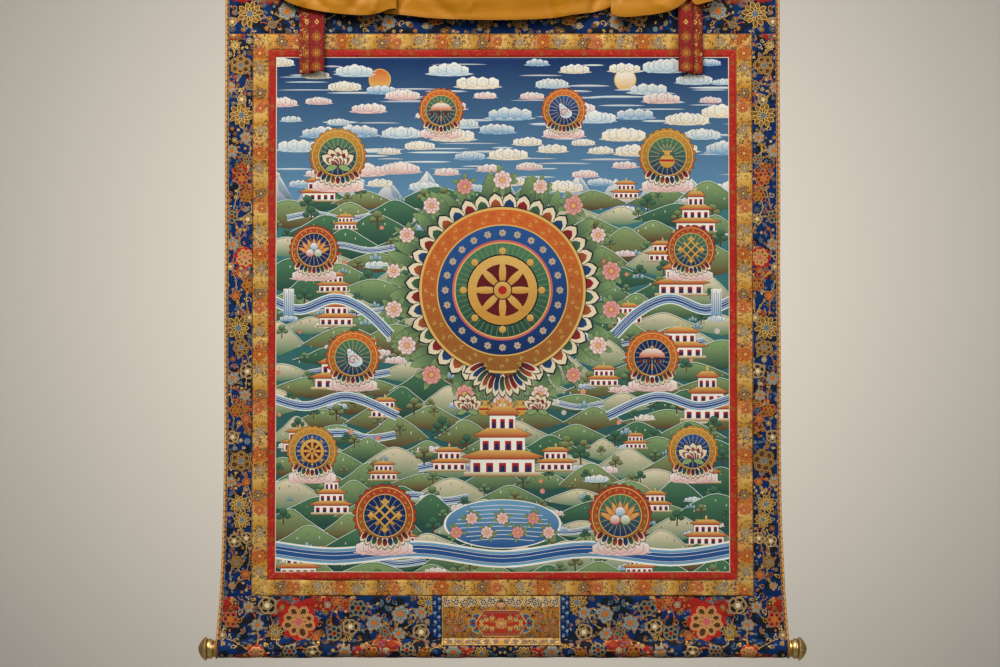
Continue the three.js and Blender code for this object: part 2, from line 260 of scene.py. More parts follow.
def petal(root: Point, angle: float, length: float, width: float, belly: float = 1.0,
          bluntness: float = 0.6) -> Path:
    """A leaf or petal outline.

    Args:
        root: the point where it grows from.
        angle: the way it points.
        length: its length.
        width: its width.
        belly: over 1 puts the widest place towards the tip.
        bluntness: 1 gives pointed ends and 0.4 blunt ones.

    Returns:
        The outline.
    """
    steps = 4 if length < 7 else 6
    right: Path = []
    left: Path = []
    for k in range(steps + 1):
        t = k / steps
        half = width / 2 * max(0, math.sin(math.pi * t**belly)) ** bluntness
        x = root[0] + math.cos(angle) * length * t
        y = root[1] + math.sin(angle) * length * t
        right.append((x + math.sin(angle) * half, y - math.cos(angle) * half))
        left.append((x - math.sin(angle) * half, y + math.cos(angle) * half))
    return right[:-1] + left[:0:-1]


def flowing(points: Sequence[Point], steps: int = 4) -> Path:
    """A smooth path through a few points.

    Args:
        points: the points it passes.
        steps: how many steps lie between two of them.

    Returns:
        The finer path.
    """
    last = len(points) - 1
    path: Path = []
    for k in range(last):
        a, b, c, d = (points[min(last, max(0, k + step))] for step in (-1, 0, 1, 2))
        for step in range(steps):
            t = step / steps
            path.append(tuple(
                q + 0.5 * t * (r - p + t * (2 * p - 5 * q + 4 * r - s + t * (3 * (q - r) + s - p)))
                for p, q, r, s in zip(a, b, c, d)
            ))
    return path + [tuple(points[last])]


def stroke(path: Sequence[Point], width: float, ends: Point = (1, 1)) -> Path:
    """The outline of a brush line.

    Args:
        path: the line's middle.
        width: its full width.
        ends: its width at the start and at the end, as shares of the full width.

    Returns:
        The outline.
    """
    last = len(path) - 1
    right: Path = []
    left: Path = []
    for k, (x, y) in enumerate(path):
        before, after = path[max(0, k - 1)], path[min(last, k + 1)]
        dx, dy = after[0] - before[0], after[1] - before[1]
        size = math.hypot(dx, dy) or 1
        t = k / last
        half = width / 2 * min(1, ends[0] + 3 * t) * min(1, ends[1] + 3 * (1 - t))
        right.append((x + dy / size * half, y - dx / size * half))
        left.append((x - dy / size * half, y + dx / size * half))
    return right + left[::-1]


def spiral(centre: Point, radius: float, turns: float = 1.1, start: float = 0, hand: int = 1) -> Path:
    """A line that winds in towards its middle.

    Args:
        centre: its middle.
        radius: how far out it starts.
        turns: how often it goes round.
        start: the angle of its first point.
        hand: 1 winds anticlockwise and -1 clockwise.

    Returns:
        The path.
    """
    steps = max(4, round(turns * 7))
    path = []
    for k in range(steps + 1):
        t = k / steps
        angle = start + hand * TAU * turns * t
        reach = radius * (1 - 0.78 * t)
        path.append((centre[0] + reach * math.cos(angle), centre[1] + reach * math.sin(angle)))
    return path


def away(root: Point, angle: float, reach: float) -> Point:
    """Returns the point at an angle and a reach from another."""
    return root[0] + math.cos(angle) * reach, root[1] + math.sin(angle) * reach


def box_of(x0: float, x1: float, y0: float, y1: float) -> Path:
    """Returns the corners of an upright rectangle."""
    return [(x0, y0), (x1, y0), (x1, y1), (x0, y1)]


def shrunk(outline: Sequence[Point], by: float) -> Path:
    """A smaller copy of a convex outline, all of its sides moved inwards.

    Args:
        outline: the points, anticlockwise.
        by: how far the sides move.

    Returns:
        The smaller outline.
    """
    points = []
    count = len(outline)
    for k in range(count):
        (ax, ay), (bx, by_), (cx, cy) = outline[k - 1], outline[k], outline[(k + 1) % count]
        first = math.atan2(by_ - ay, bx - ax)
        second = math.atan2(cy - by_, cx - bx)
        half_turn = math.remainder(second - first, TAU) / 2
        along = first + half_turn + math.pi / 2
        points.append(away((bx, by_), along, by / max(0.3, math.cos(half_turn))))
    return points


class Cut(NamedTuple):
    """A chart cut into triangles: its points, its triangles and the shape each one shows."""

    points: np.ndarray
    triangles: np.ndarray
    shapes: np.ndarray


def fans(faces: Sequence[Sequence[int]], covers: Sequence[list[int]]) -> tuple[np.ndarray, list[list[int]]]:
    """Splits faces into triangles.

    Args:
        faces: the corners of each face.
        covers: the shapes that cover each face.

    Returns:
        The triangles and the shapes that cover each of them.
    """
    triangles = []
    owners = []
    for face, cover in zip(faces, covers):
        for k in range(1, len(face) - 1):
            triangles.append((face[0], face[k], face[k + 1]))
            owners.append(cover)
    return np.array(triangles), owners


def twins(triangles: np.ndarray, count: int) -> tuple[np.ndarray, np.ndarray]:
    """Finds the triangle on the other side of each edge.

    Args:
        triangles: rows of three point numbers.
        count: how many points there are.

    Returns:
        Each edge's two point numbers as one key, and the triangle across it, or -1.
    """
    start, end = triangles.ravel().astype(np.int64), np.roll(triangles, -1, axis=1).ravel().astype(np.int64)
    keys, wanted = start * count + end, end * count + start
    order = np.argsort(keys)
    found = np.minimum(np.searchsorted(keys[order], wanted), len(keys) - 1)
    return keys, np.where(keys[order][found] == wanted, order[found] // 3, -1)


def visible_lines(points: np.ndarray, triangles: np.ndarray, labels: np.ndarray) -> Lines:
    """The edges between areas that look different, without points where hidden shapes crossed them.

    Args:
        points: a row for each point.
        triangles: rows of three point numbers.
        labels: what each triangle shows, -1 outside the cloth.

    Returns:
        What lies on the left of each directed edge.
    """
    keys, across = twins(triangles, len(points))
    own = labels.repeat(3)
    other = np.where(across >= 0, labels[across], -1)
    chosen = (own != other) & (own >= 0)
    starts, ends = np.divmod(keys[chosen], len(points))
    sides = {(int(a), int(b)): int(c) for a, b, c in zip(starts, ends, own[chosen])}
    around: dict[int, set[int]] = {}
    for a, b in sides:
        around.setdefault(a, set()).add(b)
        around.setdefault(b, set()).add(a)
    for middle, ring_points in around.items():
        if len(ring_points) != 2:
            continue
        a, b = ring_points
        if any(pair not in sides for pair in ((a, middle), (middle, a), (b, middle), (middle, b))):
            continue
        (ax, ay), (mx, my), (bx, by) = points[a], points[middle], points[b]
        turn = (bx - ax) * (my - ay) - (by - ay) * (mx - ax)
        if b in around[a] or abs(turn) > 1e-3 * math.hypot(bx - ax, by - ay):
            continue
        for first, last in ((a, b), (b, a)):
            sides[first, last] = sides.pop((first, middle))
            del sides[middle, last]
            around[first].discard(middle)
            around[first].add(last)
        ring_points.clear()
    return sides


def spread(triangles: np.ndarray, sides: Lines, count: int) -> np.ndarray:
    """Spreads what lies beside the known edges over all of the triangles.

    Args:
        triangles: rows of three point numbers.
        sides: what lies on the left of each known edge.
        count: how many points there are.

    Returns:
        What each triangle shows, -1 outside the cloth.
    """
    keys, across = twins(triangles, count)
    known = {a * count + b: label for (a, b), label in sides.items()}
    beside = np.array([known.get(key, -1) for key in keys.tolist()]).reshape(-1, 3)
    shown = beside.max(axis=1)
    turned = keys % count * count + keys // count
    walls = np.array([key in known for key in turned.tolist()]).reshape(-1, 3)
    across = np.where((beside >= 0) | walls, -1, across.reshape(-1, 3))
    left = -1
    while left != (left := int((shown < 0).sum())):
        for k in range(3):
            near = across[:, k]
            shown = np.where((shown < 0) & (near >= 0), shown[near], shown)
    return shown


class Chart:
    """A flat pattern in its cloth's own size: closed shapes laid one over another."""

    CLOSE = 1e-4
    SPECK = 0.3
    LEAK = 1.05

    def __init__(self, outline: Sequence[Point], ground: Paint, seed: int = 1,
                 mirror: float | None = None) -> None:
        """Starts a chart.

        Args:
            outline: the cloth's edge, anticlockwise.
            ground: what fills it.
            seed: starts the chart's chance draws.
            mirror: where an upright mirror line stands, or None for no mirror.
        """
        self.outline = list(outline)
        self.points: list[Point] = []
        self.faces: list[list[int]] = []
        self.fills: list[tuple[Paint, Point, Point]] = []
        self.chance = random.Random(seed)
        self.scores = 0
        self.mirror = None
        xs, ys = zip(*outline)
        self.low, self.high = (min(xs), min(ys)), (max(xs), max(ys))
        self.lay(outline, ground)
        self.mirror = mirror

    def lay(self, shape: Sequence[Point], paint: Paint, start: Point | None = None,
            end: Point | None = None) -> None:
        """Lays one closed shape on top, and its mirror image where the chart has a mirror.

        Args:
            shape: its outline.
            paint: what fills it.
            start: where its shading begins, the top if None.
            end: where its shading ends, the bottom if None.
        """
        xs, ys = zip(*shape)
        if max(ys) <= self.low[1] or min(ys) >= self.high[1]:
            return
        middle = (min(xs) + max(xs)) / 2
        start = start or (middle, max(ys))
        end = end or (middle, min(ys))
        flips = [False] if self.mirror is None else [False, True]
        for flip in flips:
            points = [(2 * self.mirror - x, y) for x, y in shape] if flip else list(shape)
            if max(x for x, _ in points) <= self.low[0] or min(x for x, _ in points) >= self.high[0]:
                continue
            pairs = zip(points, points[1:] + points[:1])
            doubled = sum(a[0] * b[1] - b[0] * a[1] for a, b in pairs)
            if abs(doubled) < self.SPECK:
                continue
            if doubled < 0:
                points.reverse()
            ends = [(2 * self.mirror - x, y) if flip else (x, y) for x, y in (start, end)]
            first = len(self.points)
            self.points.extend(points)
            self.faces.append(list(range(first, len(self.points))))
            self.fills.append((paint, *ends))

    def disc(self, centre: Point, radius: float, paint: Paint, count: int = 10, squash: float = 1) -> None:
        """Lays a round or oval spot."""
        self.lay(ring(centre, radius, count, squash), paint)

    def line(self, path: Sequence[Point], width: float, paint: Paint, ends: Point = (1, 1)) -> None:
        """Lays a brush line."""
        self.lay(stroke(path, width, ends), paint)

    def leaf(self, root: Point, angle: float, length: float, width: float, edge: Paint, fill: Paint,
             rim: float = 0.8) -> None:
        """Lays an edged leaf or petal.

        Args:
            root: the point where it grows from.
            angle: the way it points.
            length: its length.
            width: its width.
            edge: its outline's paint.
            fill: its inside's paint.
            rim: the outline's width.
        """
        self.lay(petal(root, angle, length, width), edge)
        if length > 4 * rim and width > 2.2 * rim:
            inner = petal(away(root, angle, rim), angle, length - 2 * rim, width - 2 * rim)
            self.lay(inner, fill, away(root, angle, length), root)

    def score(self, line: Sequence[Point]) -> None:
        """Slips a plain closed line in under the pattern, where the cloth bends.

        Args:
            line: its points.
        """
        first = len(self.points)
        self.points.extend(line)
        self.faces.insert(1, list(range(first, first + len(line))))
        self.fills.insert(1, self.fills[0])
        self.scores += 1

    def cut(self, step: float) -> Cut:
        """Cuts the chart into triangles along the outlines that show.

        Args:
            step: the spacing of the plain points that let the cloth bend.

        Returns:
            The triangles, each with the last shape that was laid there.
        """
        found = delaunay_2d_cdt([Vector(p) for p in self.points], [], self.faces, 1, self.CLOSE, True)
        points = np.array([tuple(p) for p in found[0]])
        pieces, covers = fans(found[2], found[5])
        covers = self.without_leaks(points, pieces, covers)
        labels = np.array([self.label(owners) for owners in covers])
        lines = visible_lines(points, pieces, labels)
        ends = sorted({k for pair in lines for k in pair})
        renamed = {k: n for n, k in enumerate(ends)}
        lines = {(renamed[a], renamed[b]): label for (a, b), label in lines.items()}
        kept = [Vector(points[k]) for k in ends] + [Vector(p) for p in self.plain_points(step)]
        pairs = sorted({(min(pair), max(pair)) for pair in lines})
        again = delaunay_2d_cdt(kept, pairs, [], 0, self.CLOSE, True)
        sides: Lines = {}
        for (start, end), owners in zip(again[1], again[4]):
            for a, b in (pairs[owner] for owner in owners):
                along = (again[0][end] - again[0][start]).dot(kept[b] - kept[a])
                for pair, line in (((start, end), (a, b)), ((end, start), (b, a))):
                    if (line if along > 0 else line[::-1]) in lines:
                        sides[pair] = lines[line if along > 0 else line[::-1]]
        triangles, _ = fans(again[2], again[5])
        shown = spread(triangles, sides, len(again[0]))
        used, renumbered = np.unique(triangles[shown >= 0], return_inverse=True)
        places = np.array([tuple(again[0][k]) for k in used])
        return Cut(places, renumbered.reshape(-1, 3), shown[shown >= 0] // (self.scores + 1))

    def label(self, owners: Sequence[int]) -> int:
        """Numbers what a triangle shows: its last shape and the last scored line round it.

        Args:
            owners: the shapes that cover it.

        Returns:
            The number, or -1 outside the cloth.
        """
        if 0 not in owners:
            return -1
        zones = self.scores + 1
        return max(owners) * zones + max(k for k in owners if k < zones)

    def without_leaks(self, points: np.ndarray, triangles: np.ndarray,
                      covers: list[list[int]]) -> list[list[int]]:
        """Leaves out the shapes that came out of the cut larger than the boxes round them.

        Args:
            points: the cut's points.
            triangles: its triangles.
            covers: the shapes that cover each triangle.

        Returns:
            The shapes that cover each triangle, without the ones that leaked.
        """
        a, b, c = (points[triangles[:, k]] for k in range(3))
        areas = np.abs((b - a)[:, 0] * (c - a)[:, 1] - (b - a)[:, 1] * (c - a)[:, 0]) / 2
        shapes = np.fromiter(chain.from_iterable(covers), int)
        counts = np.fromiter(map(len, covers), int)
        covered = np.bincount(shapes, np.repeat(areas, counts), len(self.faces))
        leaky = set()
        for number in range(self.scores + 1, len(self.faces)):
            xs, ys = zip(*(self.points[k] for k in self.faces[number]))
            if covered[number] > self.LEAK * (max(xs) - min(xs)) * (max(ys) - min(ys)) + 1:
                leaky.add(number)
        if not leaky:
            return covers
        return [[k for k in owners if k not in leaky] for owners in covers]

    def plain_points(self, step: float) -> Path:
        """Points in a loose grid inside the chart's box.

        Args:
            step: their spacing.

        Returns:
            The points.
        """
        columns = max(1, round((self.high[0] - self.low[0]) / step))
        rows = max(1, round((self.high[1] - self.low[1]) / step))
        return [
            (mix(self.low[0], self.high[0], (i + 0.5 * (j % 2)) / columns),
             mix(self.low[1], self.high[1], j / rows))
            for j in range(1, rows)
            for i in range(1, columns)
        ]

    def tints(self, cut: Cut) -> np.ndarray:
        """The colour at each corner of each triangle.

        Args:
            cut: the chart's triangles.

        Returns:
            Red, green, blue and metal shares, four numbers a corner.
        """
        tones = np.array([p.tone.linear for p, _, _ in self.fills])
        shades = np.array([(p.shade or p.tone).linear for p, _, _ in self.fills])
        metals = np.array([p.metal for p, _, _ in self.fills])
        starts = np.array([s for _, s, _ in self.fills])
        ways = np.array([e for _, _, e in self.fills]) - starts
        lengths = np.maximum((ways**2).sum(axis=1), 1e-6)
        shapes = np.repeat(cut.shapes, 3)
        corners = cut.points[cut.triangles.ravel()]
        share = ((corners - starts[shapes]) * ways[shapes]).sum(axis=1) / lengths[shapes]
        share = np.clip(share, 0, 1)[:, None]
        colours = tones[shapes] * (1 - share) + shades[shapes] * share
        return np.concatenate([colours, metals[shapes][:, None]], axis=1)


# The cloths' shared looks: the noises' scales for a metre, across and down, the fading's and the
# weave's strength and least light, and how metallic a metal thread is
YARN_SCALE = (260, 1500)
DENT_SCALE = (30, 85)
FADE_SCALE = 11
FADE = (0.34, 0.83)
THREAD_LIGHT = (0.16, 0.88)
METAL_THREAD = 0.55


class Finish(NamedTuple):
    """How a cloth takes the light.

    thread is the spacing of its weave, gloss its roughness, sheen its soft edge light, slub how
    uneven its yarn is, relief how deep its weave is, crease how deep its soft dents are and shine how
    much it reflects.
    """

    name: str
    thread: float
    gloss: float
    sheen: float
    slub: float
    relief: float
    crease: float = 0.0
    shine: float = 0.3

    def material(self) -> bpy.types.Material:
        """Makes the cloth's material, once for each finish.

        Returns:
            The material, which reads the piece's tint and pattern map.
        """
        if self.name in bpy.data.materials:
            return bpy.data.materials[self.name]
        nodes = Nodes(self.name)
        tint = nodes.add("ShaderNodeAttribute", attribute_name="tint")
        place = nodes.add("ShaderNodeUVMap", uv_map="chart").outputs[0]
        pitch = METRE / self.thread * 0.1 * math.pi
        warp = nodes.add("ShaderNodeTexWave", place, Scale=pitch, Distortion=0.6, bands_direction="X")
        weft = nodes.add("ShaderNodeTexWave", place, Scale=pitch, Distortion=0.6, bands_direction="Y")
        weave = nodes.math("MAXIMUM", warp.outputs["Fac"], weft.outputs["Fac"])
        yarn = nodes.add("ShaderNodeTexNoise", nodes.stretched(place, *YARN_SCALE), Scale=1, Detail=3)
        cloud = nodes.add("ShaderNodeTexNoise", place, Scale=FADE_SCALE, Detail=4)
        uneven = nodes.math("MULTIPLY_ADD", yarn.outputs["Fac"], self.slub * 2, 1 - self.slub)
        faded = nodes.math("MULTIPLY_ADD", cloud.outputs["Fac"], *FADE)
        threads = nodes.math("MULTIPLY_ADD", weave, *THREAD_LIGHT)
        light = nodes.math("MULTIPLY", nodes.math("MULTIPLY", uneven, faded), threads)
        colour = nodes.add("ShaderNodeVectorMath", tint.outputs["Color"], operation="SCALE")
        nodes.link(light, colour.inputs["Scale"])
        shader = nodes.shader
        nodes.link(colour.outputs[0], shader.inputs["Base Color"])
        metal = nodes.math("MULTIPLY", tint.outputs["Alpha"], METAL_THREAD)
        nodes.link(metal, shader.inputs["Metallic"])
        rough = nodes.math("MULTIPLY_ADD", tint.outputs["Alpha"], -0.22, self.gloss)
        nodes.link(nodes.math("MULTIPLY_ADD", yarn.outputs["Fac"], 0.1, rough), shader.inputs["Roughness"])
        shader.inputs["Sheen Weight"].default_value = self.sheen
        shader.inputs["Sheen Roughness"].default_value = 0.45
        shader.inputs["Specular IOR Level"].default_value = self.shine
        fine = nodes.add("ShaderNodeBump", Height=weave, Strength=0.5, Distance=self.relief / METRE)
        soft = nodes.add("ShaderNodeTexNoise", nodes.stretched(place, *DENT_SCALE), Scale=1, Detail=2)
        worn = nodes.add("ShaderNodeBump", Height=soft.outputs["Fac"], Strength=0.6,
                         Distance=(0.5 + self.crease) / METRE, Normal=fine.outputs[0])
        nodes.link(worn.outputs[0], shader.inputs["Normal"])
        return nodes.material


class Nodes:
    """A material's nodes, added and linked in short calls."""

    def __init__(self, name: str) -> None:
        """Starts a material.

        Args:
            name: its name.
        """
        self.material = bpy.data.materials.new(name)
        self.material.use_nodes = True
        self.tree = self.material.node_tree
        self.shader = self.tree.nodes["Principled BSDF"]

    def link(self, source: bpy.types.NodeSocket, target: bpy.types.NodeSocket) -> None:
        """Links an output to an input."""
        self.tree.links.new(source, target)

    def add(self, kind: str, vector: bpy.types.NodeSocket | None = None,
            **values: object) -> bpy.types.Node:
        """Adds a node.

        Args:
            kind: the node's type.
            vector: what feeds its vector input, its first one where it has none of that name.
            values: its inputs by name, as numbers or sockets, or else its settings.

        Returns:
            The node.
        """
        node = self.tree.nodes.new(kind)
        for name, value in values.items():
            if name not in node.inputs:
                setattr(node, name, value)
            elif isinstance(value, bpy.types.NodeSocket):
                self.link(value, node.inputs[name])
            else:
                node.inputs[name].default_value = value
        if vector is not None:
            self.link(vector, node.inputs.get("Vector") or node.inputs[0])
        return node

    def math(self, operation: str, *values: bpy.types.NodeSocket | float) -> bpy.types.NodeSocket:
        """Adds a sum and returns its result.

        Args:
            operation: the kind of sum.
            values: its terms, as sockets or numbers.

        Returns:
            The output socket.
        """
        node = self.tree.nodes.new("ShaderNodeMath")
        node.operation = operation
        for socket, value in zip(node.inputs, values):
            if isinstance(value, bpy.types.NodeSocket):
                self.link(value, socket)
            else:
                socket.default_value = value
        return node.outputs[0]

    def stretched(self, place: bpy.types.NodeSocket, across: float, down: float) -> bpy.types.NodeSocket:
        """Scales a place unevenly.

        Args:
            place: the coordinates.
            across: how much the first is scaled.
            down: how much the second is scaled.

        Returns:
            The scaled coordinates.
        """
        node = self.add("ShaderNodeMapping", place)
        node.inputs["Scale"].default_value = (across, down, across)
        return node.outputs[0]


PAINTED = Finish("canvas_paint", 0.9, 0.72, 0.0, 0.10, 0.12, 0.3, 0.2)
BROCADE = Finish("brocade_weave", 0.75, 0.55, 0.01, 0.24, 0.2, 0.8, 0.1)
RIBBON = Finish("ribbon_weave", 0.7, 0.55, 0.02, 0.20, 0.2, 0.5, 0.15)
PIPING = Finish("piping_silk", 0.6, 0.5, 0.04, 0.2, 0.2, 0.2, 0.2)
SILK = Finish("veil_weave", thread=0.45, gloss=0.45, sheen=0.06, slub=0.06, relief=0.08, crease=0.6)
LINING = Paint(Dye.CREAM)


class Layer(NamedTuple):
    """How far a cloth's back and front stand before the hanging surface."""

    back: float
    front: float


class Cut3(NamedTuple):
    """A mesh being put together: points, triangles, corner tints, pattern places and bake places."""

    points: np.ndarray
    triangles: np.ndarray
    tints: np.ndarray
    places: np.ndarray
    bake: np.ndarray


def rim_of(triangles: np.ndarray) -> list[int]:
    """The outer edge of a cut.

    Args:
        triangles: rows of three point numbers.

    Returns:
        One loop of point numbers, anticlockwise.
    """
    edges = {(int(t[k]), int(t[k - 2])) for t in triangles for k in range(3)}
    following = {a: b for a, b in edges if (b, a) not in edges}
    first = next(iter(following))
    loop = [first]
    while following[loop[-1]] != first:
        loop.append(following[loop[-1]])
    return loop


def edge_distance(points: np.ndarray, outline: Sequence[Point]) -> np.ndarray:
    """How far each point lies from an outline.

    Args:
        points: a row for each point.
        outline: the closed outline.

    Returns:
        The distances.
    """
    nearest = np.full(len(points), np.inf)
    corners = np.array(outline)
    for a, b in zip(corners, np.roll(corners, -1, axis=0)):
        way = b - a
        share = np.clip(((points - a) @ way) / (way @ way), 0, 1)[:, None]
        nearest = np.minimum(nearest, np.linalg.norm(points - a - share * way, axis=1))
    return nearest


# A sheet's extra edge loops, its back's coarser step, and the strips of the bake for its front, its
# back and its walls: where a strip begins and its height, but for the walls where it begins and ends
RIM_INSETS = (0.5, 1.3)
BACK_STEP = 1.6
FRONT_STRIP = (0.27, 0.72)
BACK_STRIP = (0.03, 0.21)
WALL_STRIP = (0.004, 0.016)


@dataclass
class Cloth:
    """A thin closed sheet with a chart on its front face.

    Fields: name, the chart, its layer, its finish, place, which puts the chart in space, rounding,
    how far in from its edge the front starts to turn away, sink, how far it turns, step, the
    spacing of its plain points, backing, and bends, the heights where it bends.
    """

    name: str
    chart: Chart
    layer: Layer
    finish: Finish = BROCADE
    place: Place = on_cloth
    rounding: float = 2.4
    sink: float = 0.7
    step: float = 9
    backing: Paint = LINING
    bends: tuple[float, ...] = ()

    def woven(self) -> bpy.types.Object:
        """Makes the sheet's object.

        Returns:
            The object, in metres, with its finish.
        """
        for inset in (*RIM_INSETS, self.rounding):
            self.chart.score(shrunk(self.chart.outline, inset))
        self.bend(self.chart)
        cut = self.chart.cut(self.step)
        rim = rim_of(cut.triangles)
        count = len(cut.points)
        near = edge_distance(cut.points, self.chart.outline)
        turned = self.sink * (1 - smooth(near / self.rounding))
        front = self.place(cut.points[:, 0], cut.points[:, 1], self.layer.front - turned)
        plain = Chart([tuple(p) for p in cut.points[rim]], self.backing)
        self.bend(plain)
        behind = plain.cut(self.step * BACK_STEP)
        level = np.full(len(behind.points), self.layer.back)
        back = self.place(behind.points[:, 0], behind.points[:, 1], level)
        nearest = [int(np.argmin(((behind.points - cut.points[k]) ** 2).sum(axis=1))) + count for k in rim]
        walls = []
        for k, a in enumerate(rim):
            b = rim[(k + 1) % len(rim)]
            c, d = nearest[k], nearest[(k + 1) % len(rim)]
            walls += [(a, c, d), (a, d, b)]
        flat = np.concatenate([cut.points, behind.points])
        walls = np.array(walls)
        triangles = np.concatenate([cut.triangles, behind.triangles[:, ::-1] + count, walls])
        # Painted shade: the walls round the sheet take the ground's dye at seven tenths of its light, as
        # shade painted into the seams and along the cut edges
        seam_shade_tint = np.append(self.chart.fills[0][0].tone.linear * 0.7, 0)
        tints = np.concatenate([
            self.chart.tints(cut),
            plain.tints(Cut(behind.points, behind.triangles[:, ::-1], behind.shapes)),
            np.tile(seam_shade_tint, (len(walls) * 3, 1)),
        ])
        places = flat[triangles.ravel()]
        low, span = flat.min(axis=0), np.ptp(flat, axis=0)
        share = (places - low) / span * 0.99 + 0.005
        fronts, backs = len(cut.triangles) * 3, len(behind.triangles) * 3
        bake = share.copy()
        bake[:fronts, 1] = FRONT_STRIP[0] + share[:fronts, 1] * FRONT_STRIP[1]
        bake[fronts:fronts + backs, 1] = BACK_STRIP[0] + share[fronts:fronts + backs, 1] * BACK_STRIP[1]
        bake[fronts + backs:] = self.wall_bake(len(rim))
        made = mesh_object(self.name, Cut3(np.concatenate([front, back]), triangles, tints, places, bake))
        made.data.materials.append(self.finish.material())
        smooth_by_angle(made, SHEET_ANGLE)
        return made

    def bend(self, chart: Chart) -> None:
        """Scores a chart across at each height where the cloth bends."""
        for high, low in zip(self.bends, self.bends[1:]):
            chart.score(box_of(chart.low[0] - 1, chart.high[0] + 1, low, high))

    @staticmethod
    def wall_bake(count: int) -> np.ndarray:
        """Places for the walls in the bake: a narrow strip along the bottom.

        Args:
            count: how many walls there are.

        Returns:
            A row for each corner.
        """
        k = np.arange(count)[:, None]
        left, right = k / count, (k + 0.9) / count
        bottom, top = (np.full_like(left, edge) for edge in WALL_STRIP)
        corners = [left, top, left, bottom, right, bottom, left, top, right, bottom, right, top]
        return np.concatenate(corners, axis=1).reshape(-1, 2)


def mesh_object(name: str, cut: Cut3) -> bpy.types.Object:
    """Makes an object from arrays in millimetres.

    Args:
        name: its name.
        cut: its points, triangles and what its corners hold.

    Returns:
        The object, linked to the scene.
    """
    mesh = bpy.data.meshes.new(name)
    mesh.from_pydata((cut.points / METRE).tolist(), [], cut.triangles.tolist())
    tint = mesh.color_attributes.new("tint", "FLOAT_COLOR", "CORNER")
    tint.data.foreach_set("color", cut.tints.astype(np.float32).ravel())
    chart = mesh.uv_layers.new(name="chart")
    chart.data.foreach_set("uv", (cut.places / METRE).astype(np.float32).ravel())
    bake = mesh.uv_layers.new(name="OFBake")
    bake.data.foreach_set("uv", cut.bake.astype(np.float32).ravel())
    made = bpy.data.objects.new(name, mesh)
    bpy.context.scene.collection.objects.link(made)
    return made


def only_none() -> None:
    """Deselects every object."""
    for other in bpy.context.view_layer.objects:
        other.select_set(False)


def only(piece: bpy.types.Object) -> None:
    """Selects one object alone and makes it the active one.

    Args:
        piece: the object.
    """
    only_none()
    piece.select_set(True)
    bpy.context.view_layer.objects.active = piece


def smooth_by_angle(piece: bpy.types.Object, degrees: float) -> None:
    """Shades a piece smooth but for edges sharper than an angle."""
    only(piece)
    bpy.ops.object.shade_smooth_by_angle(angle=math.radians(degrees))


def fitted(piece: bpy.types.Object, slot: str, node: str) -> None:
    """Ties a piece to the frame's root body and hides the node that it stands for.

    Args:
        piece: the finished piece.
        slot: the material slot's name; not used.
        node: the node's name.
    """
    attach(piece, "root")
    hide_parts(node)
    log.info("%s: %d faces", piece.name, len(piece.data.polygons))


def grown(edges: tuple[float, float, float], by: float) -> tuple[float, float, float]:
    """A rectangle's half width, top and bottom, larger by a border on every side."""
    return edges[0] + by, edges[1] + by, edges[2] - by


PAINTING_EDGES = (PAINTING_HALF, PAINTING_TOP, PAINTING_BOTTOM)
RED_EDGES = grown(PAINTING_EDGES, RED_WIDTH)
GOLD_EDGES = grown(RED_EDGES, GOLD_WIDTH)
NEAR = 0.03


class Motifs(Chart):
    """A chart with the flowers, curls and leaves that brocade and painting share."""

    def bloom(self, centre: Point, radius: float, petals: int, edge: Paint, fill: Paint, core: Paint,
              rings: Sequence[float] = (1,), rim: float = 0.8, turn: float = 0.3, fat: float = 1.0,
              blunt: float = 0.55, vein: Paint | None = None, pit: Paint | None = None) -> None:
        """Lays a flower seen face on.

        Args:
            centre: its middle.
            radius: its size.
            petals: how many petals are in a ring.
            edge: the petals' outline.
            fill: the petals' inside.
            core: its middle's paint.
            rings: the rings of petals, as shares of the radius, the outer one first.
            rim: the outline's width.
            turn: the angle of the first petal.
            fat: how wide a petal is against its share of the ring.
            blunt: how blunt the petals' ends are, 1 for pointed ones.
            vein: the paint down the petals' middles, if they have one.
            pit: the paint inside the vein; such a flower's petals are uneven too.
        """
        for k, share in enumerate(rings):
            for p in range(petals):
                angle = turn + TAU * (p + 0.5 * k) / petals
                reach = radius * share
                if pit:
                    angle += self.chance.uniform(-0.1, 0.1)
                    reach *= self.chance.uniform(0.88, 1.08)
                width = fat * TAU * reach * 0.62 / petals
                root = away(centre, angle, reach * 0.12)
                self.lay(petal(root, angle, reach * 0.88, width, 1.35, blunt), edge)
                if width > 2.4 * rim and reach > 3 * rim:
                    inner = petal(away(root, angle, rim), angle, reach * 0.88 - 2 * rim, width - 2 * rim,
                                  1.35, blunt)
                    self.lay(inner, fill, away(root, angle, reach * 0.88), root)
                for paint, inset, narrower, least in ((vein, 2.2, 4.2, (4.6, 6)), (pit, 3, 5.6, (6, 8))):
                    if paint and width > least[0] * rim and reach > least[1] * rim:
                        start = away(root, angle, inset * rim)
                        long = reach * 0.88 - 2 * inset * rim
                        self.lay(petal(start, angle, long, width - narrower * rim, 1.35, blunt), paint)
        heart = radius * 0.24
        self.disc(centre, heart + rim * 0.7, edge)
        self.disc(centre, heart, core)

    def curl(self, centre: Point, radius: float, paint: Paint, width: float = 0.9,
             turns: float = 0.9) -> None:
        """Lays a curl that starts and turns by chance.

        Args:
            centre: its middle.
            radius: its size.
            paint: its paint.
            width: its line's width.
            turns: how often it goes round.
        """
        start = self.chance.uniform(0, TAU)
        hand = self.chance.choice((-1, 1))
        self.line(spiral(centre, radius, turns, start, hand), width, paint, (0.6, 0.4))

    def near(self, value: float, share: float = 0.2) -> float:
        """Returns a value changed by chance, by up to a share of it."""
        return value * self.chance.uniform(1 - share, 1 + share)


GOLD_THREAD = Paint(Dye.GOLD, metal=0.8)
PALE_GOLD = Paint(Dye.STRAW, metal=0.7)
COPPER = Paint(Dye.ORANGE, metal=0.3)
NAVY_GROUND = Paint(Dye.NAVY)


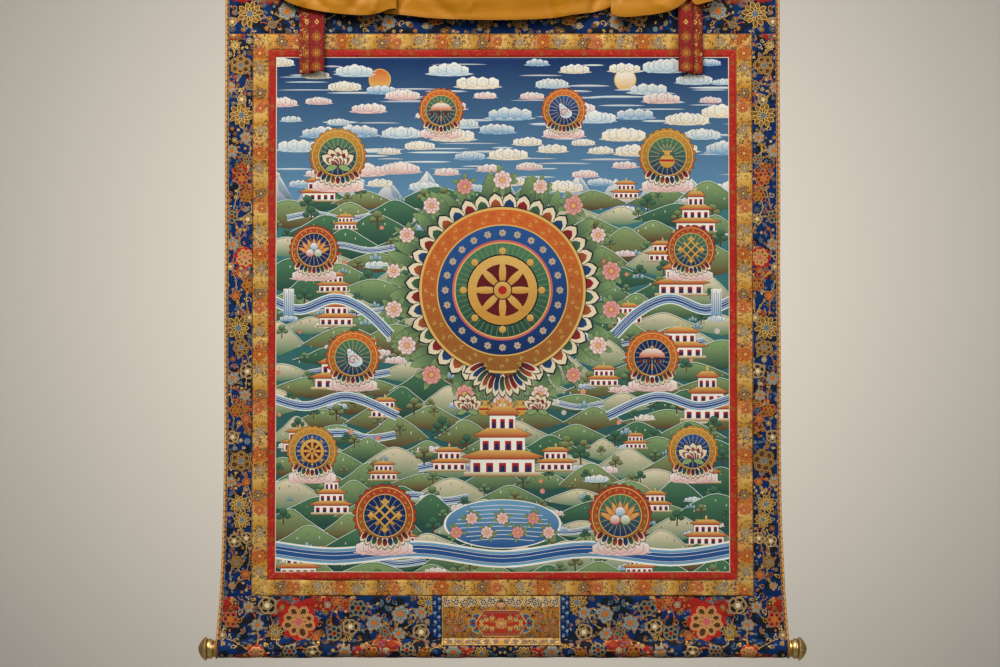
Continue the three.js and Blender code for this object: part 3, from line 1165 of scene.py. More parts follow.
class Flower(Enum):
    """The blue brocade's flowers: petals, edge, fill, core, rings, petal width, bluntness, vein and pit."""

    MUM = (11, PALE_GOLD, Paint(Dye.BROWN, Dye.INK), Paint(Dye.SLATE), (1, 0.6), 1.1, 0.42, GOLD_THREAD,
           Paint(Dye.INK))
    LOOP = (6, GOLD_THREAD, Paint(Dye.INK, Dye.NAVY), Paint(Dye.SLATE), (1, 0.5), 1.25, 0.4, PALE_GOLD,
            Paint(Dye.BROWN))
    ASTER = (7, GOLD_THREAD, Paint(Dye.SLATE, Dye.INK), Paint(Dye.ORANGE), (1, 0.5), 1.25, 0.4,
             Paint(Dye.PALE), Paint(Dye.SLATE))
    ROSETTE = (8, PALE_GOLD, Paint(Dye.ROSE, Dye.EMBER), Paint(Dye.ROSE), (1, 0.56), 1.2, 0.4,
               Paint(Dye.STRAW), Paint(Dye.BROWN))
    STAR = (5, PALE_GOLD, Paint(Dye.SLATE, Dye.INK), Paint(Dye.CREAM), (1, 0.5), 1.3, 0.42, GOLD_THREAD,
            Paint(Dye.INK))
    EMBER = (6, GOLD_THREAD, Paint(Dye.CRIMSON, Dye.WINE), Paint(Dye.ORANGE), (1, 0.5), 1.2, 0.45,
             Paint(Dye.ROSE), Paint(Dye.WINE))
    REED = (6, GOLD_THREAD, Paint(Dye.TEAL, Dye.INK), Paint(Dye.RUBY), (1,), 1.3, 0.4, Paint(Dye.SLATE),
            Paint(Dye.INK))
    ROSE = (6, GOLD_THREAD, Paint(Dye.RUBY), Paint(Dye.OCHRE), (1, 0.55), 1.25, 0.42, Paint(Dye.AMBER),
            Paint(Dye.WINE))


MUM, LOOP, ASTER, ROSETTE, STAR, EMBER, REED, ROSE = Flower


class Spot(NamedTuple):
    """A place in a brocade's repeat: its flower, across, height and radius."""

    flower: Flower
    x: float
    z: float
    radius: float


class Patch(NamedTuple):
    """A red cloud in a brocade: its middle, its half width, its height against its width and its lobes."""

    x: float
    z: float
    radius: float
    squash: float
    lobes: int


class Brocade(Motifs):
    """A chart of blue brocade: red clouds, flowers at the repeat's places and small curls between."""

    SHADOW_AREA = 420
    VINE_REACH = 60

    def weave_repeat(self, patches: Sequence[Patch], spots: Sequence[Spot], gap: float, tries: int) -> None:
        """Lays the whole repeat.

        Args:
            patches: the red clouds.
            spots: the flowers.
            gap: how far the small motifs stay from the flowers.
            tries: how many places are tried for them.
        """
        wide, tall = self.high[0] - self.low[0], self.high[1] - self.low[1]
        for _ in range(round(wide * tall / self.SHADOW_AREA)):
            at = (self.low[0] + wide * self.chance.random(), self.low[1] + tall * self.chance.random())
            self.lay(scallops(at, self.near(8, 0.4), 6, 0.3, self.near(0.9, 0.3), at[0]), Paint(Dye.INK))
        for patch in patches:
            self.cloud_patch(patch)
        self.vines(spots)
        taken = [(s.x, s.z, s.radius) for s in spots]
        self.fill_in(taken, gap, tries)
        for spot in spots:
            self.flower(spot)

    def vines(self, spots: Sequence[Spot]) -> None:
        """Links each flower with its two nearest later ones by a bowed vine with chain links on it.

        Args:
            spots: the flowers.
        """
        for number, spot in enumerate(spots):
            others = sorted(spots[number + 1:], key=lambda s: math.hypot(s.x - spot.x, s.z - spot.z))[:2]
            for other in others:
                far = math.hypot(other.x - spot.x, other.z - spot.z)
                if far > self.VINE_REACH:
                    continue
                bow = self.chance.uniform(-0.25, 0.25)
                middle = ((spot.x + other.x) / 2 + bow * (other.z - spot.z),
                          (spot.z + other.z) / 2 - bow * (other.x - spot.x))
                path = flowing([(spot.x, spot.z), middle, (other.x, other.z)], 5)
                light = self.chance.choice((GOLD_THREAD, COPPER, PALE_GOLD))
                self.line(path, 0.9, light)
                for at in path[3:-2:2]:
                    self.disc(at, 1.8, light, 6)
                    self.disc(at, 1.0, Paint(Dye.INK), 4)

    def cloud_patch(self, patch: Patch) -> None:
        """Lays a red cloud with gold curls on it.

        Args:
            patch: its place and size.
        """
        centre = (patch.x, patch.z)
        self.lay(scallops(centre, patch.radius, patch.lobes, 0.22, patch.squash, 0.4),
                 Paint(Dye.CRIMSON, Dye.RUBY))
        for _ in range(round(patch.radius * patch.squash * 1.9)):
            angle = self.chance.uniform(0, TAU)
            reach = patch.radius * math.sqrt(self.chance.random()) * 0.85
            at = (patch.x + reach * math.cos(angle), patch.z + reach * patch.squash * math.sin(angle))
            tone = self.chance.choice((Dye.GOLD, Dye.OCHRE, Dye.BROWN, Dye.SLATE, Dye.WINE))
            self.curl(at, self.near(2.8), Paint(tone, metal=0.3), 1.1)

    def flower(self, spot: Spot) -> None:
        """Lays one of the repeat's flowers, on a few leaves.

        Args:
            spot: its kind, place and size.
        """
        petals, edge, fill, core, rings, fat, blunt, vein, pit = spot.flower.value
        turn = self.chance.uniform(0, TAU)
        at = (spot.x, spot.z)
        if spot.radius > 6:
            for k in range(4):
                angle = turn + TAU * (k + self.chance.uniform(-0.2, 0.2)) / 4
                self.leaf(at, angle, spot.radius * 1.5, spot.radius * 0.5, GOLD_THREAD,
                          Paint(Dye.SLATE, Dye.NAVY), 0.9)
        if spot.flower is Flower.ROSETTE:
            self.lay(scallops(at, spot.radius * 1.3, 8, 0.15, 1, turn), Paint(Dye.CRIMSON))
        else:
            self.lay(scallops(at, spot.radius * 1.16, petals, 0.2, 1, turn), Paint(Dye.INK))
        rim = 0.7 + spot.radius * 0.022
        self.bloom(at, spot.radius * 1.12, petals, edge, fill, core, rings, rim, turn, fat, blunt, vein,
                   pit)

    def fill_in(self, taken: list[tuple[float, float, float]], gap: float, tries: int) -> None:
        """Lays buds, curls and sprays in the spaces between the flowers.

        Args:
            taken: places already in use, with their radii.
            gap: the space between two motifs.
            tries: how many places are tried.
        """
        used = list(taken)
        for _ in range(tries):
            x = self.chance.uniform(self.low[0], self.high[0])
            z = self.chance.uniform(self.low[1], self.high[1])
            size = self.chance.choice((2.2, 3, 4, 5))
            if any(math.hypot(x - a, z - b) < r + size + gap for a, b, r in used):
                continue
            used.append((x, z, size))
            self.small((x, z), size)

    def small(self, at: Point, size: float) -> None:
        """Lays one small motif: looped petals, a curl with a ring or a spray of leaves.

        Args:
            at: its middle.
            size: its radius.
        """
        draw = self.chance.random()
        light = self.chance.choice((GOLD_THREAD, PALE_GOLD, Paint(Dye.OCHRE, metal=0.4), Paint(Dye.SLATE),
                                    Paint(Dye.AMBER), Paint(Dye.STRAW), Paint(Dye.SLATE)))
        dark = Paint(self.chance.choice((Dye.INK, Dye.INK, Dye.SLATE, Dye.BROWN)))
        turn = self.chance.uniform(0, TAU)
        if draw < 0.36:
            self.curl(at, size, light, 1, 1.1)
            self.disc(away(at, turn, size), 1.4, light, 6)
        elif draw < 0.76:
            self.bloom(at, size, self.chance.choice((4, 5, 6)), light, dark, light, (1,), 0.62, turn, 1.2,
                       0.4)
        else:
            fill = Paint(self.chance.choice((Dye.SLATE, Dye.TEAL, Dye.RUBY, Dye.OCHRE)), Dye.INK)
            for k in (-1, 1, 0):
                self.leaf(away(at, turn, -size * 0.6), turn + k * 0.8, size * 1.6, size * 0.7, light, fill,
                          0.6)


# The side panel's repeat, down the left panel. The right panel mirrors it.
SIDE_PATCHES = tuple(starmap(Patch, (
    (-384, -112, 14, 0.5, 7), (-374, -310, 15, 1.1, 9), (-366, -336, 10, 1.3, 8),
    (-372, -452, 12, 1.0, 7), (-364, -470, 10, 1.0, 7), (-370, -512, 8, 0.8, 6),
    (-372, -646, 14, 1.2, 8), (-364, -672, 8, 1.2, 6),
)))
SIDE_SPOTS = tuple(starmap(Spot, (
    (MUM, -384, -126, 7), (LOOP, -376, -155, 14), (ASTER, -391, -187, 8), (REED, -363, -184, 7),
    (MUM, -374, -227, 16), (STAR, -374, -204, 7), (ASTER, -367, -259, 8.5), (ASTER, -388, -278, 9),
    (REED, -366, -290, 7), (EMBER, -374, -318, 10), (ROSE, -367, -342, 9), (REED, -388, -372, 9),
    (STAR, -365, -376, 7), (ASTER, -387, -412, 9), (ROSETTE, -369, -431, 12), (STAR, -390, -444, 5),
    (ROSE, -364, -470, 9), (EMBER, -382, -486, 7), (MUM, -378, -532, 16), (STAR, -362, -517, 6),
    (LOOP, -374, -560, 12), (STAR, -365, -594, 10), (ASTER, -386, -604, 9), (ASTER, -368, -628, 8),
    (ROSE, -382, -650, 9), (EMBER, -367, -662, 7), (STAR, -386, -688, 9), (LOOP, -374, -722, 15),
    (ASTER, -388, -752, 8), (EMBER, -366, -752, 6), (MUM, -376, -784, 13), (MUM, -372, -806, 12),
    (STAR, -383, -836, 9), (STAR, -366, -832, 8), (LOOP, -380, -866, 9), (EMBER, -367, -884, 7),
    (ASTER, -386, -900, 6),
)))

# The top panel's repeat, from its left end to its middle. Its right half mirrors it.
TOP_PATCHES = tuple(starmap(Patch, (
    (-352, -58, 38, 0.28, 11), (-386, -30, 14, 1.2, 7), (-240, -30, 30, 0.5, 9), (-90, -26, 34, 0.5, 9),
    (-20, -70, 22, 0.5, 8),
)))
TOP_SPOTS = tuple(starmap(Spot, (
    (MUM, -363, -81, 17), (ASTER, -309, -77, 13), (REED, -331, -96, 6), (STAR, -388, -92, 6),
    (LOOP, -352, -34, 14), (ASTER, -386, -12, 9), (EMBER, -318, -28, 11), (MUM, -280, -22, 14),
    (STAR, -262, -92, 7), (REED, -236, -60, 11), (ROSETTE, -222, -20, 13), (LOOP, -195, -84, 13),
    (ASTER, -163, -92, 10), (EMBER, -172, -40, 11), (MUM, -134, -62, 14), (ASTER, -128, -16, 10),
    (ROSE, -96, -88, 9), (STAR, -88, -34, 12), (REED, -56, -66, 10), (MUM, -48, -22, 13),
    (LOOP, -24, -92, 10), (ROSETTE, 0, -50, 16),
)))

# The lower panel's repeat, from its left end to its middle and down over the roll
BOTTOM_PATCHES = tuple(starmap(Patch, (
    (-396, -928, 20, 0.75, 7), (-300, -934, 36, 0.5, 9), (-254, -924, 30, 0.45, 9),
    (-218, -928, 22, 0.5, 8), (-190, -1000, 30, 0.45, 8), (-166, -985, 22, 0.9, 9),
    (-372, -1012, 20, 0.5, 7), (-60, -1003, 26, 0.5, 8), (-118, -968, 12, 1.3, 7),
)))
BOTTOM_SPOTS = tuple(starmap(Spot, (
    (EMBER, -388, -948, 11), (STAR, -336, -928, 13), (ASTER, -362, -930, 8), (ASTER, -350, -956, 9),
    (ROSETTE, -291, -951, 22), (MUM, -324, -966, 11), (REED, -206, -932, 12), (EMBER, -236, -922, 8),
    (REED, -240, -968, 11), (STAR, -217, -958, 11), (ASTER, -183, -953, 11), (ASTER, -148, -968, 9),
    (MUM, -106, -924, 15), (ASTER, -146, -940, 12), (ASTER, -116, -938, 9), (REED, -168, -965, 8),
    (STAR, -116, -966, 12), (EMBER, -266, -972, 7), (STAR, -400, -970, 6), (ROSETTE, -350, -1002, 11),
    (REED, -303, -998, 10), (STAR, -270, -1000, 10), (ASTER, -224, -1000, 10), (ROSE, -186, -1001, 11),
    (REED, -136, -996, 10), (ROSE, -112, -1002, 9), (ASTER, -70, -1000, 11), (MUM, -30, -1002, 11),
    (LOOP, -388, -1030, 11), (MUM, -330, -1034, 13), (ASTER, -258, -1034, 11), (EMBER, -160, -1036, 11),
    (LOOP, -92, -1036, 12), (ASTER, -8, -1036, 10),
)))


@dataclass
class Roll:
    """The brocade's lower hem, wound round into a roll: how the lower chart lies in space.

    Fields: start, the angle round the roll where the panel meets it, and ends, the angle where the
    cloth ends behind.
    """

    start: float = math.radians(85)
    ends: float = math.radians(-258)

    @property
    def crease(self) -> float:
        """Returns the height where the panel turns over the roll."""
        return ROLL_CENTRE_Z + ROLL_RADIUS * math.sin(self.start)

    @property
    def bottom(self) -> float:
        """Returns the chart's lowest height, where the wound cloth ends."""
        return self.crease - ROLL_RADIUS * (self.start - self.ends)

    def place(self, x: np.ndarray, v: np.ndarray, depth: np.ndarray) -> np.ndarray:
        """Places the lower chart on the panel and round the roll.

        Args:
            x: places across.
            v: heights in the chart, which go on round the roll.
            depth: depths in front of the cloth's back.

        Returns:
            Points in space.
        """
        flat = on_cloth(x, v, depth)
        angle = self.start - (self.crease - v) / ROLL_RADIUS
        t = (x + ROLL_HALF_LENGTH) / (2 * ROLL_HALF_LENGTH)
        lump = 0.25 * np.sin(19 * t) + 0.2 * np.sin(47 * t + 1) + 0.25 * np.sin(120 * t + 3 * angle)
        for middle, sway, comes in ((0.75, 0.3, 31), (0.15, 0.35, 22), (-0.4, 0.3, 27)):
            trough = np.exp(-(((angle - middle - sway * np.sin(comes * t * 0.4 + middle)) / 0.17) ** 2))
            lump = lump - 0.9 * trough * smooth(0.5 + np.sin(comes * t + 4 * middle))
        reach = ROLL_RADIUS - 0.3 + lump + depth - 2
        wound = np.stack([
            x,
            -(ROLL_DEPTH + reach * np.cos(angle)),
            ROLL_CENTRE_Z + reach * np.sin(angle),
        ], axis=1)
        return np.where((v < self.crease)[:, None], wound, flat)


ROLL = Roll()


def outer_at(z: float) -> float:
    """Returns half the width of the blue brocade at a height."""
    return float(half_width_at(z)) - BINDING_WIDTH - SEAM_GAP


@dataclass
class BlueSurround:
    """The four panels of blue brocade round the gold border."""

    layer: Layer = Layer(0, 2)
    slot: str = "blue_brocade"

    def build(self) -> None:
        self.top()
        for side in (-1, 1):
            self.side(side)
        self.bottom()

    def panel(self, name: str, chart: Chart, size: Point, place: Place = on_cloth,
              bends: tuple[float, ...] = ()) -> None:
        """Weaves one panel.

        Args:
            name: its node's name.
            chart: its pattern.
            size: the size it is cut to; not used.
            place: what puts its chart in space.
            bends: the heights where it bends.
        """
        made = Cloth(f"{name}_brocade", chart, self.layer, place=place, bends=bends).woven()
        fitted(made, self.slot, name)

    def top(self) -> None:
        """Weaves the top panel."""
        half, low = outer_at(0), GOLD_EDGES[1] + NEAR
        chart = Brocade(box_of(-half, half, low, 0), NAVY_GROUND, seed=5, mirror=0)
        chart.weave_repeat(TOP_PATCHES, TOP_SPOTS, 0.4, 820)
        self.panel("blue_panel_top", chart, (2 * half, -low))

    def side(self, side: int) -> None:
        """Weaves a side panel.

        Args:
            side: -1 for the left one and 1 for the right one.
        """
        top, low = GOLD_EDGES[1] - NEAR, GOLD_EDGES[2] + NEAR
        inner = GOLD_EDGES[0] + NEAR
        heights = [mix(top, low, k / 24) for k in range(25)]
        outer = [(-outer_at(z), z) for z in heights]
        outline = [(-inner, top), *outer, (-inner, low)]
        if side > 0:
            outline = [(-x, z) for x, z in outline][::-1]
        chart = Brocade(outline, NAVY_GROUND, seed=9)
        flipped = 1 if side < 0 else -1
        patches = [p._replace(x=flipped * p.x) for p in SIDE_PATCHES]
        spots = [s._replace(x=flipped * s.x) for s in SIDE_SPOTS]
        chart.weave_repeat(patches, spots, 0.3, 1500)
        width = outer_at(low) - inner
        name = "blue_panel_left" if side < 0 else "blue_panel_right"
        area = sum(outer_at(z) - inner for z in heights) / len(heights) * (top - low) / METRE**2
        self.panel(name, chart, (width, top - low))

    def bottom(self) -> None:
        """Weaves the lower panel with its hem wound round into the roll."""
        top = GOLD_EDGES[2] - NEAR
        limit = ROLL_HALF_LENGTH - SEAM_GAP
        heights = [mix(top, ROLL.crease, k / 8) for k in range(9)]
        left = [(-min(outer_at(z), limit), z) for z in heights] + [(-limit, ROLL.bottom)]
        outline = left + [(-x, z) for x, z in left[::-1]]
        chart = Brocade(outline, NAVY_GROUND, seed=12, mirror=0)
        chart.weave_repeat(BOTTOM_PATCHES, BOTTOM_SPOTS, 0.6, 860)
        bends = tuple(mix(ROLL.crease, ROLL.bottom, k / 26) for k in range(-1, 26))
        self.panel("blue_panel_bottom", chart, (2 * limit, top - ROLL.bottom), ROLL.place, bends)


@dataclass
class MitredBorder:
    """Four mitred strips of one brocade between an inner and an outer rectangle.

    Fields: name, its nodes' name, inner and outer, the rectangles, layer, slot, ground, and draw,
    which lays its pattern on a strip's chart.
    """

    name: str
    inner: tuple[float, float, float]
    outer: tuple[float, float, float]
    layer: Layer
    slot: str
    ground: Paint
    draw: Callable[[Motifs, Callable[[float, float], Point], float], None]

    def build(self) -> None:
        mitre = NEAR * math.sqrt(2)
        ih, it, ib = grown(self.inner, NEAR)
        oh, ot, ob = grown(self.outer, -NEAR)
        strips = {
            "top": [(-ih + mitre, it), (ih - mitre, it), (oh - mitre, ot), (-oh + mitre, ot)],
            "bottom": [(-oh + mitre, ob), (oh - mitre, ob), (ih - mitre, ib), (-ih + mitre, ib)],
            "left": [(-oh, ob + mitre), (-ih, ib + mitre), (-ih, it - mitre), (-oh, ot - mitre)],
            "right": [(ih, ib + mitre), (oh, ob + mitre), (oh, ot - mitre), (ih, it - mitre)],
        }
        for number, (side, outline) in enumerate(strips.items()):
            self.strip(side, outline, number)

    def strip(self, side: str, outline: Sequence[Point], seed: int) -> None:
        """Weaves one strip.

        Args:
            side: which one it is.
            outline: its corners.
            seed: starts its chance draws.
        """
        upright = side in ("left", "right")
        xs, zs = zip(*outline)
        width = max(xs) - min(xs) if upright else max(zs) - min(zs)
        length = max(zs) - min(zs) if upright else max(xs) - min(xs)
        inset = {"top": min(zs), "bottom": max(zs), "left": max(xs), "right": min(xs)}[side]
        outwards = 1 if side in ("top", "right") else -1

        def at(along: float, across: float) -> Point:
            """Gives the place at a length from the strip's middle and a width from its inner edge.

            Args:
                along: the length.
                across: the width.

            Returns:
                The place.
            """
            out = inset + outwards * across
            return (out, (max(zs) + min(zs)) / 2 - along) if upright else (along, out)

        chart = Motifs(outline, self.ground, seed + 20)
        self.draw(chart, at, length)
        node = f"{self.name}_{side}"
        made = Cloth(f"{node}_brocade", chart, self.layer, rounding=min(2.4, width / 5),
                     step=min(9, width / 3)).woven()
        fitted(made, self.slot, node)


# The gold brocade's repeat: places along it, the ground there, how dense its tracery is and its threads
GOLD_PITCH = 144
GOLD_ZONES = (
    (0.00, Dye.STRAW, 0.35, (Dye.OCHRE, Dye.BROWN)),
    (0.10, Dye.GOLD, 0.95, (Dye.BROWN, Dye.INK, Dye.SLATE, Dye.OCHRE)),
    (0.24, Dye.STRAW, 0.95, (Dye.INK, Dye.SLATE, Dye.BROWN, Dye.EMBER)),
    (0.38, Dye.AMBER, 0.85, (Dye.EMBER, Dye.CRIMSON, Dye.BROWN, Dye.STRAW)),
    (0.48, Dye.GOLD, 0.92, (Dye.SLATE, Dye.BROWN, Dye.OCHRE, Dye.INK)),
    (0.64, Dye.STRAW, 0.30, (Dye.OCHRE,)),
    (0.74, Dye.GOLD, 0.95, (Dye.EMBER, Dye.BROWN, Dye.INK, Dye.SLATE)),
    (0.88, Dye.AMBER, 0.80, (Dye.ROSE, Dye.BROWN, Dye.EMBER, Dye.STRAW)),
    (1.00, Dye.STRAW, 0, ()),
)
GOLD_FLOWERS = (
    (0.17, 7, Dye.SLATE, Dye.STRAW), (0.40, 9, Dye.EMBER, Dye.ORANGE), (0.55, 7, Dye.SLATE, Dye.GOLD),
    (0.80, 8, Dye.BROWN, Dye.SLATE), (0.95, 7.5, Dye.EMBER, Dye.ROSE),
)


def gold_pattern(chart: Motifs, at: Callable[[float, float], Point], length: float) -> None:
    """Lays the gold brocade: tracery in grey, brown and red on a ground that shifts, with flowers.

    Args:
        chart: the strip's chart.
        at: gives the place at a length and a width.
        length: the strip's length.
    """
    width = GOLD_WIDTH
    repeats = math.ceil(length / GOLD_PITCH / 2) + 1
    for repeat in range(-repeats, repeats):
        for (begin, ground, density, threads), (end, after, _, _) in zip(GOLD_ZONES, GOLD_ZONES[1:]):
            x0, x1 = (repeat + begin) * GOLD_PITCH, (repeat + end) * GOLD_PITCH
            band = [at(x0, -1), at(x1, -1), at(x1, width + 1), at(x0, width + 1)]
            chart.lay(band, Paint(ground, after, 0.4), at(x0, width / 2), at(x1, width / 2))
            for k in range(round((x1 - x0) / 3.8) * 7):
                if chart.chance.random() < density:
                    place = at(chart.chance.uniform(x0, x1), (k % 7 + chart.chance.random()) / 7 * width)
                    size, paint = chart.near(2.5, 0.35), Paint(chart.chance.choice(threads))
                    chart.curl(place, size, paint, chart.near(0.95), chart.chance.uniform(0.45, 0.95))
        for share, size, edge, fill in GOLD_FLOWERS:
            spot = at((repeat + share) * GOLD_PITCH, width * chart.near(0.5))
            chart.bloom(spot, size, 7, Paint(edge), Paint(fill, Dye.GOLD), PALE_GOLD, (1, 0.55), 0.8,
                        share * 9, 1.2, 0.45, Paint(Dye.GOLD), Paint(Dye.BROWN))
    for across, thick in ((width - 0.8, 0.8), (0.6, 0.6)):
        chart.line([at(-length / 2 - 2, across), at(length / 2 + 2, across)], thick, Paint(Dye.BROWN))


def red_pattern(chart: Motifs, at: Callable[[float, float], Point], length: float) -> None:
    """Lays the red border's faint gold sprays.

    Args:
        chart: the strip's chart.
        at: gives the place at a length and a width.
        length: the strip's length.
    """
    pitch = 62
    faint = Paint(Dye.EMBER, Dye.OCHRE, 0.3)
    for _ in range(round(length / 4)):
        place = at(chart.chance.uniform(-length / 2, length / 2), RED_WIDTH * chart.chance.random())
        chart.curl(place, chart.near(1.7), Paint(chart.chance.choice((Dye.WINE, Dye.EMBER, Dye.ORANGE))),
                   0.7, 0.8)
    for k in range(round(length / pitch) + 1):
        middle = (k + 0.3) * pitch - length / 2
        for step in range(9):
            place = at(middle + (step - 4) * 3.4, RED_WIDTH / 2 + chart.chance.uniform(-2.6, 2.6))
            chart.curl(place, chart.near(1.8), faint, 0.7, 0.8)
        chart.bloom(at(middle, RED_WIDTH / 2), 3.6, 5, Paint(Dye.OCHRE, metal=0.4), Paint(Dye.EMBER), faint,
                    (1,), 0.6)


@dataclass
class DoorPatch:
    """The gold brocade patch on the lower panel and the navy strip on each side of it.

    Fields: layer, turn_z, the height where the patch turns over the roll, the first and last angle
    round the roll there, and wrap, the length of patch that lies over the roll.
    """

    layer: Layer = Layer(2.3, 3.5)
    turn_z: float = ROLL_CENTRE_Z + ROLL_RADIUS + 4
    first_angle: float = math.radians(76)
    last_angle: float = math.radians(28)
    wrap: float = 19.5

    def place(self, x: np.ndarray, v: np.ndarray, depth: np.ndarray) -> np.ndarray:
        """Places the patch's chart down the panel and over the roll.

        Args:
            x: places across.
            v: heights in the chart.
            depth: depths in front of the hanging surface.

        Returns:
            Points in space.
        """
        flat = on_cloth(x, v, depth)
        share = np.clip((self.turn_z - v) / self.wrap, 0, 1)
        step_on = 5 / self.wrap
        angle = self.first_angle + (self.last_angle - self.first_angle) * (share - step_on) / (1 - step_on)
        reach = ROLL_RADIUS + 0.5 + depth - self.layer.back
        rolled = np.stack([x, -(ROLL_DEPTH + reach * np.cos(angle)), ROLL_CENTRE_Z + reach * np.sin(angle)],
                          axis=1)
        eased = smooth(share / step_on)[:, None]
        level = flat.copy()
        level[:, 2] = np.maximum(level[:, 2], self.turn_z - 1)
        return level * (1 - eased) + rolled * eased

    def build(self) -> None:
        """Weaves the patch and its strips."""
        top = GOLD_EDGES[2] - NEAR
        left = DOOR_CENTRE_X - DOOR_WIDTH / 2
        low = self.turn_z - self.wrap
        outline = box_of(left, left + DOOR_WIDTH, low, top)
        chart = Motifs(outline, Paint(Dye.GOLD, Dye.OCHRE, 0.5), 31, DOOR_CENTRE_X)
        self.tracery(chart, top, low)
        bends = tuple(mix(self.turn_z, low, k / 10) for k in range(10))
        made = Cloth("door_patch_brocade", chart, self.layer, place=self.place, rounding=1.6, sink=0.4,
                     step=6, bends=bends).woven()
        fitted(made, "gold_brocade", "door_patch")
        for side in (-1, 1):
            self.strip(side, top)

    def tracery(self, chart: Motifs, top: float, low: float) -> None:
        """Lays the patch's tracery, its red cartouche, bud and lotus.

        Args:
            chart: the patch's chart.
            top: its top.
            low: its lowest height.
        """
        x0 = DOOR_CENTRE_X
        middle = mix(top, low, 0.5)
        bands = (
            (top, 17, Paint(Dye.STRAW, Dye.GOLD, 0.3), (Dye.INK, Dye.BROWN, Dye.INK, Dye.CREAM, Dye.SLATE)),
            (top - 17, 44, Paint(Dye.GOLD, Dye.OCHRE, 0.4),
             (Dye.BROWN, Dye.OCHRE, Dye.INK, Dye.EMBER, Dye.SLATE)),
            (top - 61, 20, Paint(Dye.STRAW, Dye.GOLD, 0.5), (Dye.OCHRE, Dye.SLATE, Dye.BROWN, Dye.CREAM)),
        )
        for high, tall, ground, threads in bands:
            chart.lay(box_of(x0 - DOOR_WIDTH, x0, high - tall, high), ground)
            for _ in range(round(tall * 11)):
                spot = (x0 - DOOR_WIDTH / 2 * chart.chance.random(), high - tall * chart.chance.random())
                paint = Paint(chart.chance.choice(threads))
                chart.curl(spot, chart.near(2.1, 0.4), paint, chart.near(0.95),
                           chart.chance.uniform(0.5, 0.95))
            chart.line([(x0 - DOOR_WIDTH / 2, high - tall), (x0 + 1, high - tall)], 0.7, Paint(Dye.BROWN))
        for k in range(6):
            spot = (x0 - 12 - k * 13, top - chart.near(8.5, 0.1))
            chart.bloom(spot, 5.4, 6, Paint(Dye.CREAM), Paint(Dye.INK), COPPER, (1,), 0.7, k, 1.2, 0.45)
            chart.bloom((spot[0] + 4, top - 70), 4.4, 5, Paint(Dye.OCHRE), Paint(Dye.SLATE), COPPER, (1,),
                        0.6, k)
        for k in range(3):
            spot = (x0 - 56 - k * 9, middle + (9, -8, 3)[k])
            chart.bloom(spot, 6, 7, Paint(Dye.BROWN), Paint(Dye.ROSE, Dye.GOLD), PALE_GOLD, (1, 0.5), 0.7,
                        k, 1.2, 0.45)
        half, rise = 36, 18
        for dy in (7, -7, 0):
            lobe = (x0 - half - 4 + abs(dy) * 0.7, middle + dy)
            for size, paint in ((7.4, PALE_GOLD), (6.3, Paint(Dye.BLUE, Dye.TEAL)), (3, Paint(Dye.RUBY))):
                chart.lay(scallops(lobe, size, 5, 0.25, 1.1, math.pi), paint)
        sides = [(x0 - half, middle), (x0 - half + 12, middle + rise), (x0, middle + rise),
                 (x0, middle - rise), (x0 - half + 12, middle - rise)]
        for grow, paint in ((1.1, PALE_GOLD), (0, Paint(Dye.CRIMSON, Dye.EMBER))):
            chart.lay([(x if x == x0 else x - grow, z + math.copysign(grow, z - middle)) for x, z in sides],
                      paint)
        for k in range(26):
            spot = (x0 - 28 * chart.chance.random(), middle + rise * chart.chance.uniform(-0.7, 0.7))
            chart.curl(spot, chart.near(2.4), Paint(chart.chance.choice((Dye.GOLD, Dye.OCHRE, Dye.LEAF))),
                       0.9, 0.9)
        for k in range(7):
            for edge in (-1, 1):
                chart.disc((x0 - 2 - k * 4, middle + edge * (rise - 2.4)), 1.5,
                           Paint((Dye.TEAL, Dye.OCHRE)[k % 2]), 6)
        chart.bloom((x0 - 0.01, middle), 8, 8, PALE_GOLD, Paint(Dye.ROSE, Dye.EMBER), Paint(Dye.STRAW),
                    (1, 0.6), 0.7)
        for k, reach in enumerate((13, 21, 28)):
            for side in (-1, 1):
                at = (x0 - reach, middle + side * (8 - 2.6 * k))
                chart.bloom(at, 3.6, 5, Paint(Dye.STRAW), Paint(Dye.LEAF, Dye.OCHRE), Paint(Dye.ROSE), (1,),
                            0.6)
                chart.leaf(at, math.pi / 2 * side, 6, 2.6, Paint(Dye.OCHRE), Paint(Dye.TEAL), 0.6)
        for side, lift in ((1, top - 9), (-1, low + 10)):
            for spread in (-0.9, -0.45, 0, 0.45, 0.9):
                angle = math.pi / 2 * (1 if side < 0 else -1) + spread
                chart.leaf((x0, lift), angle, 8, 4, PALE_GOLD, Paint(Dye.ROSE, Dye.PINK), 0.6)
        for inset, paint in ((1.3, PALE_GOLD), (2.6, Paint(Dye.OCHRE))):
            x = x0 - DOOR_WIDTH / 2 + inset
            chart.line([(x, low - 1), (x, top - inset), (x0 + 1, top - inset)], 0.8, paint)
            chart.line([(x, low + inset), (x0 + 1, low + inset)], 0.8, paint)

